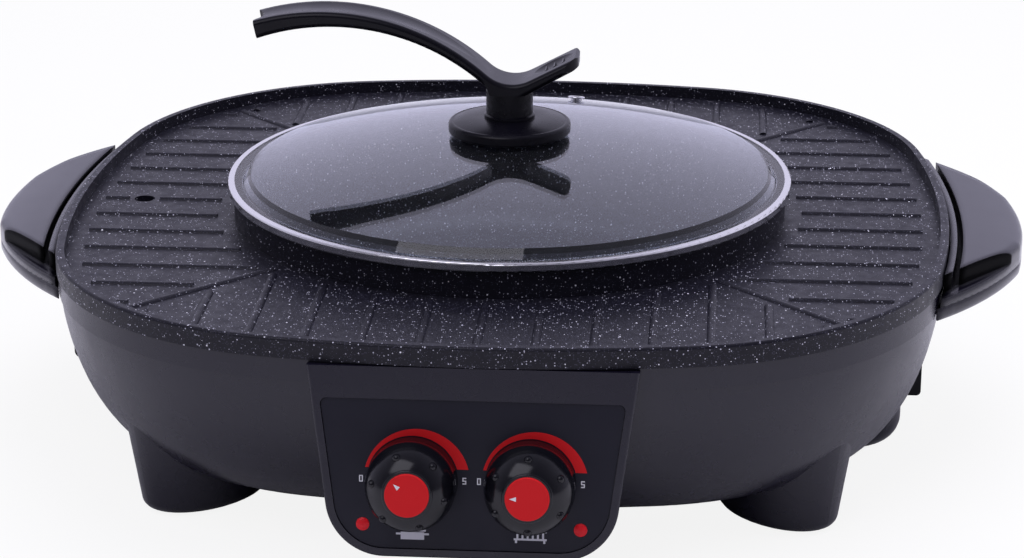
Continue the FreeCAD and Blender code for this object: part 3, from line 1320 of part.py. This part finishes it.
def pin_rod(name, side, radius):
    start, middle = f"{INLET_MOUTH} - inlet_depth - 4", "(inlet_bottom + inlet_top) / 2"
    return cylinder(name, radius, "inlet_depth + 1",
                    (start, f"{side} * inlet_pin_offset", middle), (0, 1, 0), 90)


def inlet_pins():
    pins = [pin_rod(f"inlet_pin_{i}", side, "inlet_pin_radius") for i, side in enumerate((LEFT, RIGHT))]
    return group("inlet_pins", *pins)


def terminal_block():
    floor = "(pocket_underside + base_wall)"
    middle = f"{INLET_MOUTH} - inlet_depth - 20"
    block = box("terminal_case", (20, 34, 14), (middle, 0, floor))
    wells = [
        cylinder(f"terminal_well_{i}", 2.6, 8, (middle, y, f"{floor} + 8"))
        for i, y in enumerate((-11, 0, 11))
    ]
    return cut("terminal_block", block, *wells)


# ---------------------------------------------------------------- assembly and files

def build():
    outside, inside = base_outside(), base_inside()
    parts = [
        base_shell(outside, inside), cup_guide(inside), rubber_feet(), bottom_cover(), cover_screws(),
        heat_shield(), shield_screws(), pot_heating_element(), grill_heating_element(),
        element_supports(), control_box(), control_panel(), power_inlet(), inlet_pins(),
        terminal_block(), grill_pan(), lid_glass(), lid_rim(), steam_vent(), lid_gasket(), lid_knob(),
        lid_handle(), lid_washer(), lid_screw(), drip_cup(outside), handle_screws(),
    ]
    for side, name in ((LEFT, "left"), (RIGHT, "right")):
        parts += [thermostat(side, name), indicator_lamp(side, name), *knob_parts(side, name)]
    cover, tray = handle_cover(), handle_base()
    parts += [cover, tray, mirrored("handle_cover_left", cover, (1, 0, 0)),
              mirrored("handle_tray_left", tray, (1, 0, 0))]
    for part in parts:
        part.Label = part.Name
    doc.recompute()
    return parts


def check(parts):
    """Stops if any object failed or any sub-part is not a sound solid."""
    failed = [o.Name for o in doc.Objects if {"Invalid", "Error"} & set(o.State)]
    unsound = [p.Label for p in parts if p.Shape.isNull() or not p.Shape.isValid() or not p.Shape.Solids]
    if failed or unsound:
        raise RuntimeError(f"failed objects {failed}, unsound sub-parts {unsound}")


def centre_over_origin(parts):
    """Moves everything along Y, so the origin is under the middle of the appliance."""
    box_of_all = FreeCAD.BoundBox()
    for part in parts:
        box_of_all.add(part.Shape.optimalBoundingBox(False))
    shift = -(box_of_all.YMin + box_of_all.YMax) / 2
    for part in parts:
        part.Placement = FreeCAD.Placement(FreeCAD.Vector(0, shift, 0), FreeCAD.Rotation()) * part.Placement
    print(f"the pot's axis is at Y = {shift:.4f}")


def write(parts):
    os.makedirs("parts", exist_ok=True)
    for part in parts:
        part.Shape.exportStep(os.path.join("parts", part.Label + ".step"))


fill_sheet()
all_parts = build()
check(all_parts)
centre_over_origin(all_parts)
write(all_parts)
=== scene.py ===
"""Looks of the electric hot pot: finishes for every piece, printed marks, glass, light and camera."""

import json
import math
from functools import partial

import bpy
from mathutils import Euler, Matrix, Vector


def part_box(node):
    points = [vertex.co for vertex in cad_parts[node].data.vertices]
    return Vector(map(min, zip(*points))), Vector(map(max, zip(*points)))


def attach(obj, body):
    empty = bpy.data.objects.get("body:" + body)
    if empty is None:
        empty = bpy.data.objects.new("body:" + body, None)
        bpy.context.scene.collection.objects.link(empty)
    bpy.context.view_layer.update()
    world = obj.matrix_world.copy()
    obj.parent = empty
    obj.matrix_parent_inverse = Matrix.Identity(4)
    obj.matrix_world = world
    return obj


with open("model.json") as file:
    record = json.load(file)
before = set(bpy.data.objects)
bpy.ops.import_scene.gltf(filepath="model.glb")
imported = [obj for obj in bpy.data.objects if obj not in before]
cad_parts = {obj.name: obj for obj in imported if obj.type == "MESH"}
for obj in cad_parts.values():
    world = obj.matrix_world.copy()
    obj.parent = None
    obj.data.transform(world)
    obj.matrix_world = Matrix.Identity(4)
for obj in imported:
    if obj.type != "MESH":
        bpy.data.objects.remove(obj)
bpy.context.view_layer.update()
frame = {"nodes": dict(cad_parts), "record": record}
MM = 0.001


# ---------------------------------------------------------------- places, from the frame and the CAD's sizes

def centre(node):
    low, high = (Vector(corner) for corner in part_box(node))
    return (low + high) / 2


def joint(name):
    return next(j for j in frame["record"]["behaviour"]["joints"] if j["name"] == name)


POT_AXIS = centre("lid_rim")
DIALS = {"left": joint("left_knob_turn"), "right": joint("right_knob_turn")}
WING_FOOT = 105.8 * MM              # height of the side handles' rim, from which their wings rise
POT_REACH = 140 * MM                # just inside the wall of the pot
LEVEL = Vector((1, 1, 0))           # times a place, gives the spot under it on the floor


# ---------------------------------------------------------------- shader nodes

# The Mix node has sockets for every kind of data; these are the places of the ones for colours.
MIX_FACTOR, MIX_FIRST, MIX_SECOND, MIX_RESULT = 0, 6, 7, 2


def set_inputs(tree, node, inputs):
    """Gives each socket, by name or place, a value or the output of another node."""
    for socket, value in inputs.items():
        if isinstance(value, bpy.types.NodeSocket):
            tree.links.new(value, node.inputs[socket])
        else:
            node.inputs[socket].default_value = value


def add_node(tree, kind, inputs=None, **settings):
    node = tree.nodes.new(kind)
    for name, value in settings.items():
        setattr(node, name, value)
    set_inputs(tree, node, inputs or {})
    return node


def new_material(name):
    """A new material, with its node tree and its Principled shader."""
    material = bpy.data.materials.new(name)
    material.use_nodes = True
    return material, material.node_tree, material.node_tree.nodes["Principled BSDF"]


def calc(tree, operation, *values, clamp=False):
    """The result of a Math node."""
    inputs = dict(enumerate(values))
    return add_node(tree, "ShaderNodeMath", inputs, operation=operation, use_clamp=clamp).outputs["Value"]


def remap(tree, value, from_low, from_high, low=0.0, high=1.0):
    """A value taken from one range to another and held within it."""
    inputs = {"Value": value, "From Min": from_low, "From Max": from_high, "To Min": low, "To Max": high}
    return add_node(tree, "ShaderNodeMapRange", inputs).outputs["Result"]


def part_of(tree, vector, axis):
    """The X, Y or Z of a vector."""
    return add_node(tree, "ShaderNodeSeparateXYZ", {"Vector": vector}).outputs[axis]


def coordinates(tree):
    return add_node(tree, "ShaderNodeTexCoord").outputs["Object"]


def noise(tree, scale, detail=3.0, roughness=0.55):
    """Soft noise; scale is in lumps per metre."""
    inputs = {"Vector": coordinates(tree), "Scale": scale, "Detail": detail, "Roughness": roughness}
    return add_node(tree, "ShaderNodeTexNoise", inputs).outputs["Fac"]


def spread(tree, value, low, high):
    """Maps the middle of a noise, where most of it lies, to a range."""
    return remap(tree, value, 0.3, 0.7, low, high)


def mix_colors(tree, factor, first, second):
    inputs = {MIX_FACTOR: factor, MIX_FIRST: first, MIX_SECOND: second}
    return add_node(tree, "ShaderNodeMix", inputs, data_type="RGBA").outputs[MIX_RESULT]


def relief(tree, height, depth, **beneath):
    """The normal of a relief, depth millimetres deep, over the surface's own normal or the one beneath."""
    inputs = {"Height": height, "Distance": depth * MM, **beneath}
    return add_node(tree, "ShaderNodeBump", inputs).outputs["Normal"]


def color(red, green, blue):
    return (red, green, blue, 1.0)


def shade(tone, factor):
    """A darker or paler tone of a colour."""
    return color(*(min(part * factor, 1.0) for part in tone[:3]))


# ---------------------------------------------------------------- finishes

def uneven_gloss(tree, roughness):
    """The roughness of moulded plastic, which drifts a little over the surface."""
    return spread(tree, noise(tree, 60.0), roughness * 0.88, roughness * 1.14)


def mould_grain(tree):
    return noise(tree, 2600.0, 2.0)


def moulded_plastic(name, tone, roughness, grain=0.02, specular=0.4):
    """Injection moulded plastic: faint drift in tone and gloss, and a fine grain so many millimetres deep."""
    material, tree, shader = new_material(name)
    set_inputs(tree, shader, {
        "Base Color": mix_colors(tree, noise(tree, 9.0), shade(tone, 0.82), tone),
        "Specular IOR Level": specular,
        "Roughness": uneven_gloss(tree, roughness),
        "Normal": relief(tree, mould_grain(tree), grain),
    })
    return material


def painted_mouth_shade(tree):
    """1 on the end walls of the handles' raised wings, where their hollows begin, and 0 elsewhere; these
    walls get painted shade, black and without gloss.
    """
    facing = add_node(tree, "ShaderNodeNewGeometry").outputs["True Normal"]
    along = calc(tree, "ABSOLUTE", part_of(tree, facing, "Y"))
    end_wall = calc(tree, "GREATER_THAN", along, 0.5)
    above = calc(tree, "GREATER_THAN", part_of(tree, coordinates(tree), "Z"), WING_FOOT)
    return calc(tree, "MULTIPLY", end_wall, above)


def plastic_with_painted_hollow_shade(name, tone, roughness, coat):
    """Glossy moulded plastic with softened edges, with painted shade in its hollows: where ambient occlusion
    finds a hollow, and on the wings' end walls, the colour is painted black and the gloss and coat are taken
    away.
    """
    material, tree, shader = new_material(name)
    # painted shade: ambient occlusion and the end-wall mask give 0 in the hollows, where the plastic is
    # painted black without gloss
    openness = add_node(tree, "ShaderNodeAmbientOcclusion", {"Distance": 30 * MM}, samples=8).outputs["AO"]
    unshaded = calc(tree, "SUBTRACT", remap(tree, openness, 0.35, 0.8), painted_mouth_shade(tree), clamp=True)
    # the black painted as shade inside the hollows
    black = color(0.0008, 0.0008, 0.001)
    soft_edges = add_node(tree, "ShaderNodeBevel", {"Radius": 5 * MM}, samples=6).outputs["Normal"]
    set_inputs(tree, shader, {
        "Base Color": mix_colors(tree, unshaded, black, tone),
        "Specular IOR Level": remap(tree, unshaded, 0.0, 1.0, 0.02, 0.27),
        "Coat Weight": remap(tree, unshaded, 0.0, 1.0, 0.0, coat),
        "Coat Roughness": 0.05,
        "Roughness": uneven_gloss(tree, roughness),
        "Normal": relief(tree, mould_grain(tree), 0.003, Normal=soft_edges),
        "Coat Normal": soft_edges,
    })
    return material


def steel(name, tone, roughness, stretch=(1, 1, 1)):
    """Polished or drawn steel; its fine drawing lines run square to the axis with the largest stretch."""
    material, tree, shader = new_material(name)
    inputs = {"Vector": coordinates(tree), "Scale": stretch}
    lines = add_node(tree, "ShaderNodeMapping", inputs).outputs["Vector"]
    inputs = {"Vector": lines, "Scale": 900.0, "Detail": 2.0}
    grain = add_node(tree, "ShaderNodeTexNoise", inputs).outputs["Fac"]
    set_inputs(tree, shader, {
        "Base Color": tone,
        "Metallic": 1.0,
        "Roughness": spread(tree, grain, roughness * 0.75, roughness * 1.3),
        "Normal": relief(tree, grain, 0.004),
    })
    return material


def specks(tree, per_metre, share, radius):
    """A mask of round specks: the share of cells that hold one, and the largest radius in cells."""
    inputs = {"Vector": coordinates(tree), "Scale": per_metre, "Randomness": 1.0}
    cells = add_node(tree, "ShaderNodeTexVoronoi", inputs)
    lot = add_node(tree, "ShaderNodeSeparateColor", {"Color": cells.outputs["Color"]}).outputs["Red"]
    size = remap(tree, lot, 1.0 - share, 1.0, 0.0, radius)
    return calc(tree, "LESS_THAN", cells.outputs["Distance"], size)


def inside_pot(tree):
    """1 inside the pot and 0 on the grill plate around it."""
    inputs = {0: coordinates(tree), 1: LEVEL}
    flat = add_node(tree, "ShaderNodeVectorMath", inputs, operation="MULTIPLY").outputs["Vector"]
    inputs = {0: flat, 1: POT_AXIS * LEVEL}
    reach = add_node(tree, "ShaderNodeVectorMath", inputs, operation="DISTANCE").outputs["Value"]
    return calc(tree, "LESS_THAN", reach, POT_REACH)


def pan_coating(name):
    """Black non-stick coating with white and blue-grey specks of several sizes, and an extra layer of pale
    specks inside the pot as painted light that brightens it under the lid.
    """
    material, tree, shader = new_material(name)
    coating = mix_colors(tree, noise(tree, 25.0), color(0.0045, 0.0045, 0.008), color(0.009, 0.0085, 0.014))
    # painted light: extra pale specks inside the pot alone, which brighten the dim pot under the glass lid
    pot_light_specks = calc(tree, "MULTIPLY", specks(tree, per_metre=620, share=0.36, radius=0.3), inside_pot(tree))
    layers = [
        (specks(tree, per_metre=1500, share=0.6, radius=0.42), color(0.05, 0.05, 0.075)),
        (specks(tree, per_metre=1000, share=0.24, radius=0.4), color(0.45, 0.45, 0.52)),
        (specks(tree, per_metre=420, share=0.15, radius=0.2), color(0.8, 0.8, 0.86)),
        (pot_light_specks, color(0.9, 0.9, 0.95)),
    ]
    for mask, tone in layers:
        coating = mix_colors(tree, mask, coating, tone)
    set_inputs(tree, shader, {
        "Base Color": coating,
        "Specular IOR Level": 0.24,
        "Roughness": spread(tree, noise(tree, 180.0), 0.34, 0.48),
        "Normal": relief(tree, noise(tree, 1400.0, 4.0), 0.05),
    })
    return material


def clear_glass(name):
    """Tempered glass with a faint grey-blue body and a breath of haze."""
    material, tree, shader = new_material(f"{name}_clear")
    set_inputs(tree, shader, {
        "Base Color": color(0.84, 0.89, 0.96),
        "Transmission Weight": 0.995,
        "IOR": 1.5,
        "Roughness": spread(tree, noise(tree, 30.0), 0.0, 0.02),
    })
    return material


def ceramic(name, tone):
    """Unglazed ceramic with a mottled tone."""
    material, tree, shader = new_material(name)
    set_inputs(tree, shader, {
        "Base Color": mix_colors(tree, noise(tree, 300.0, 5.0), tone, shade(tone, 1.12)),
        "Roughness": spread(tree, noise(tree, 500.0), 0.55, 0.7),
        "Normal": relief(tree, noise(tree, 1500.0), 0.03),
    })
    return material


def finish(make, red, green, blue, **settings):
    """What makes a material of a given tone, once it is called with the material's name."""
    return partial(make, tone=color(red, green, blue), **settings)


FINISHES = {
    "base_plastic": finish(moulded_plastic, 0.007, 0.006, 0.0145, roughness=0.27, specular=0.42),
    "pan_coating": pan_coating,
    "handle_gloss": finish(plastic_with_painted_hollow_shade, 0.006, 0.0052, 0.0115, roughness=0.2, coat=0.22),
    "panel_gloss": finish(moulded_plastic, 0.007, 0.007, 0.015, roughness=0.4, grain=0.008, specular=0.25),
    "knob_black": finish(moulded_plastic, 0.004, 0.004, 0.006, roughness=0.16, grain=0.004, specular=0.35),
    "cap_red": finish(moulded_plastic, 0.64, 0.012, 0.015, roughness=0.5, grain=0.01, specular=0.15),
    "lamp_red": finish(moulded_plastic, 0.68, 0.012, 0.02, roughness=0.4, grain=0.004, specular=0.2),
    "lid_glass": clear_glass,
    "rim_steel": finish(steel, 0.78, 0.78, 0.78, roughness=0.16, stretch=(1, 1, 12)),
    "screw_steel": finish(steel, 0.5, 0.5, 0.52, roughness=0.32),
    "element_steel": finish(steel, 0.22, 0.2, 0.19, roughness=0.4),
    "shield_aluminium": finish(steel, 0.6, 0.6, 0.62, roughness=0.34, stretch=(1, 8, 1)),
    "grip_plastic": finish(moulded_plastic, 0.0032, 0.003, 0.0055, roughness=0.28, grain=0.008, specular=0.2),
    "vent_steel": finish(steel, 0.75, 0.75, 0.78, roughness=0.18),
    "rubber_black": finish(moulded_plastic, 0.018, 0.018, 0.018, roughness=0.8, grain=0.06),
    "silicone": finish(moulded_plastic, 0.03, 0.03, 0.033, roughness=0.6),
    "inlet_plastic": finish(moulded_plastic, 0.006, 0.006, 0.008, roughness=0.5, specular=0.25),
    "pin_brass": finish(steel, 0.65, 0.5, 0.25, roughness=0.28),
    "switch_ceramic": finish(ceramic, 0.62, 0.58, 0.5),
    "cover_plastic": finish(moulded_plastic, 0.02, 0.02, 0.024, roughness=0.55, grain=0.04),
}


def dress_nodes():
    """Gives every CAD node the finish of its slot, and returns the finishes made."""
    slots = {entry["node"]: entry["material_slot"] for entry in frame["record"]["subparts"]}
    made = {}
    for name, node in frame["nodes"].items():
        slot = slots[name]
        if slot not in made:
            made[slot] = FINISHES[slot](slot)
        for material_slot in node.material_slots:
            material_slot.material = made[slot]
    return made


# ---------------------------------------------------------------- printed marks, in mm from a dial's axis

FILM = 0.12                         # how far a print stands out of its face, and as far into it
NUMBER_REACH, NUMBER_RISE = 24.2, 0.5
SIGN_DROP = 25.4
SIGN_ENDS = (-6.6, 6.6)             # across: the ears of the pot sign and the feet of the rack sign
POINTER_ANGLES = {"left": 138, "right": 180}


class Face:
    """A flat face square to a dial's axis, with X to the right and Y up along the panel."""

    def __init__(self, dial, height):
        self.out = Vector(dial["axis"]).normalized()
        self.right = Vector((1, 0, 0))
        self.up = self.out.cross(self.right)
        self.origin = Vector(dial["pos_m"]) + self.out * height

    def point(self, across, up, out):
        """A place in the scene, in metres, from millimetres on the face."""
        return self.origin + (self.right * across + self.up * up + self.out * out) * MM


def printed(name, face, shapes, body, material):
    """Prints flat shapes on a face, as a film just proud of it, in a material of its own or a slot's."""
    points, faces = [], []
    for outline in shapes:
        first, count = len(points), len(outline)
        for out in (-FILM, FILM):
            points += [face.point(across, up, out) for across, up in outline]
        faces.append(tuple(range(first + count, first + 2 * count)))
        faces.append(tuple(reversed(range(first, first + count))))
        for i in range(count):
            j = (i + 1) % count
            faces.append((first + i, first + j, first + count + j, first + count + i))
    made = mesh_object(name, points, faces)
    made.data.materials.append(material)
    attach(made, body)


def arc(radius, start, end, centre_x=0.0, steps=40):
    turns = [math.radians(start + (end - start) * i / steps) for i in range(steps + 1)]
    return [(centre_x + radius * math.cos(t), radius * math.sin(t)) for t in turns]


def crescent():
    """The heat scale over a dial: it widens from the left end to the right end."""
    inner, outer, shift, low = 21.6, 24.9, 1.9, 6
    inner_start = math.degrees(math.asin(low / inner))
    outer_start = math.degrees(math.asin(low / outer))
    return (arc(outer, outer_start, 180 - outer_start, shift)
            + arc(inner, 180 - inner_start, inner_start))


def bar(x, y, width, height):
    """A flat bar from its middle and size."""
    left, right = x - width / 2, x + width / 2
    low, high = y - height / 2, y + height / 2
    return [(left, low), (right, low), (right, high), (left, high)]


def digit(name, x, y):
    """A plain 0 or 5 from straight bars."""
    width, height, line = 1.8, 3.2, 0.5
    side, half = (width - line) / 2, (height - line) / 2
    rungs = {
        "top": (x, y + half, width, line),
        "middle": (x, y, width, line),
        "bottom": (x, y - half, width, line),
        "upper_left": (x - side, y + half / 2, line, half),
        "lower_left": (x - side, y - half / 2, line, half),
        "upper_right": (x + side, y + half / 2, line, half),
        "lower_right": (x + side, y - half / 2, line, half),
    }
    left_out = {"0": ["middle"], "5": ["upper_right", "lower_left"]}[name]
    return [bar(*place) for rung, place in rungs.items() if rung not in left_out]


def pot_sign(y):
    """A plain pot with its lid and two ears."""
    pot, lid, knob = bar(0, y - 1.2, 11, 3.6), bar(0, y + 1.4, 12.6, 0.8), bar(0, y + 2.4, 2.4, 1.2)
    return [pot, lid, knob] + [bar(x, y - 0.3, 2.2, 0.9) for x in SIGN_ENDS]


def grill_sign(y):
    """A plain grill rack on two feet."""
    line, pitch = 0.9, 2.4
    rods = [bar((i - 2.5) * pitch, y + 0.5, line, 3.4) for i in range(6)]
    rails = [bar(0, y + rise, 15.4, line) for rise in (2.4, -1.4)]
    return rods + rails + [bar(x, y - 2.5, 1, 1.4) for x in SIGN_ENDS]


def pointer(angle):
    """The small triangle on a dial's cap, with its tip outwards."""
    tip, back, half_width = 8.2, 5.0, 1.1
    turn = Matrix.Rotation(math.radians(angle), 2)
    corners = ((tip, 0), (back, half_width), (back, -half_width))
    return [tuple(turn @ Vector(corner)) for corner in corners]


def cap_height(side, dial):
    """How far the cap's face stands in front of the panel, in metres."""
    cap = frame["nodes"][f"knob_cap_{side}"]
    out, foot = Vector(dial["axis"]).normalized(), Vector(dial["pos_m"])
    return max((cap.matrix_world @ vertex.co - foot).dot(out) for vertex in cap.data.vertices)


def marks(finishes):
    """Heat scales, plain numbers and signs on the panel, and the pointers on the dials' caps."""
    white = moulded_plastic("print_white", color(0.75, 0.75, 0.78), 0.5)
    pale = moulded_plastic("print_pale", color(0.62, 0.62, 0.66), 0.5)
    signs = {"left": pot_sign, "right": grill_sign}
    for side, dial in DIALS.items():
        panel = Face(dial, 0.0)
        printed(f"scale_{side}", panel, [crescent()], "base", finishes["cap_red"])
        numbers = digit("0", -NUMBER_REACH, NUMBER_RISE) + digit("5", NUMBER_REACH, NUMBER_RISE)
        printed(f"numbers_{side}", panel, numbers, "base", white)
        printed(f"sign_{side}", panel, signs[side](-SIGN_DROP), "base", pale)
        cap = Face(dial, cap_height(side, dial))
        printed(f"pointer_{side}", cap, [pointer(POINTER_ANGLES[side])], f"{side}_knob", white)


# ---------------------------------------------------------------- studio

FLOOR_GLOW = 0.88                   # how much of the floor is plain white to the camera
ROOM_TINT = color(0.8, 0.775, 1.0)
LAMP_TINT = (0.9, 0.88, 1.0)
WHITE = color(1, 1, 1)


def mesh_object(name, points, faces):
    mesh = bpy.data.meshes.new(name)
    mesh.from_pydata([tuple(p) for p in points], [], faces)
    mesh.update()
    made = bpy.data.objects.new(name, mesh)
    bpy.context.collection.objects.link(made)
    return made


def camera_ray(tree):
    return add_node(tree, "ShaderNodeLightPath").outputs["Is Camera Ray"]


def floor_white():
    """A matt white floor, brightened for the camera alone, so that only its soft shadows show."""
    material, tree, shader = new_material("floor_white")
    set_inputs(tree, shader, {
        "Base Color": color(0.86, 0.86, 0.86), "Roughness": 0.9, "Specular IOR Level": 0.1})
    glow = add_node(tree, "ShaderNodeEmission", {"Color": WHITE, "Strength": 1.0})
    share = calc(tree, "MULTIPLY", camera_ray(tree), FLOOR_GLOW)
    mixed = add_node(tree, "ShaderNodeMixShader", {0: share, 1: shader.outputs[0], 2: glow.outputs[0]})
    set_inputs(tree, tree.nodes["Material Output"], {"Surface": mixed.outputs[0]})
    return material


def room():
    """The world: white to the camera; for the rest a soft room, brightest low at the back, dim in front."""
    world = bpy.data.worlds.new("studio")
    bpy.context.scene.world = world
    world.use_nodes = True
    tree = world.node_tree
    toward = add_node(tree, "ShaderNodeTexCoord").outputs["Generated"]
    wall = remap(tree, part_of(tree, toward, "Y"), -0.7, 0.75, 0.17, 0.98)
    ceiling = remap(tree, part_of(tree, toward, "Z"), 0.6, 0.95, 1.0, 0.65)
    strength = calc(tree, "MULTIPLY", wall, ceiling)
    soft = add_node(tree, "ShaderNodeBackground", {"Color": ROOM_TINT, "Strength": strength})
    plain = add_node(tree, "ShaderNodeBackground", {"Color": WHITE, "Strength": 1.0})
    inputs = {0: camera_ray(tree), 1: soft.outputs[0], 2: plain.outputs[0]}
    mixed = add_node(tree, "ShaderNodeMixShader", inputs)
    set_inputs(tree, tree.nodes["World Output"], {"Surface": mixed.outputs[0]})


def softbox(name, place, size, power, through_glass=False, in_gloss=False):
    """An area light that faces the pot; only the chosen ones show in gloss or shine in through the lid."""
    lamp = bpy.data.lights.new(name, "AREA")
    lamp.shape = "ELLIPSE" if through_glass else "RECTANGLE"
    lamp.size, lamp.size_y = size
    lamp.energy = power
    lamp.color = LAMP_TINT
    lamp_object = bpy.data.objects.new(name, lamp)
    lamp_object.location = place
    lamp_object.rotation_euler = (POT_AXIS - Vector(place)).to_track_quat("-Z", "Y").to_euler()
    lamp_object.visible_glossy = in_gloss
    lamp_object.visible_transmission = through_glass
    bpy.context.collection.objects.link(lamp_object)


def studio():
    """A white floor in a soft pale room, with four softboxes; sizes in metres, power in watts."""
    reach = 6
    corners = [(-reach, -reach, 0), (reach, -reach, 0), (reach, reach, 0), (-reach, reach, 0)]
    floor = mesh_object("floor", corners, [(0, 1, 2, 3)])
    floor.data.materials.append(floor_white())
    room()
    softbox("key_light", place=(-0.7, -1.3, 1.9), size=(1.6, 1.6), power=17, in_gloss=True)
    softbox("right_light", place=(1.8, -0.2, 1.2), size=(0.8, 1.6), power=9)
    softbox("back_light", place=(0.2, 1.8, 1.6), size=(2.2, 0.8), power=6)
    softbox("top_light", place=(0.15, 0.1, 1.5), size=(1.6, 1.2), power=16, through_glass=True)


def camera():
    """The photograph's view, from the spot on the floor under the pot's axis."""
    lens, sensor_width = 101.16, 36.0
    offset = Vector((0.10879, -1.46571, 0.5877))
    down, left = 19.349, 4.195
    data = bpy.data.cameras.new("camera")
    data.lens, data.sensor_width = lens, sensor_width
    view = bpy.data.objects.new("camera", data)
    view.location = POT_AXIS * LEVEL + offset
    view.rotation_euler = Euler((math.radians(90 - down), 0, math.radians(left)))
    bpy.context.collection.objects.link(view)
    bpy.context.scene.camera = view


marks(dress_nodes())
studio()
camera()
bpy.context.scene.view_settings.view_transform = "Standard"
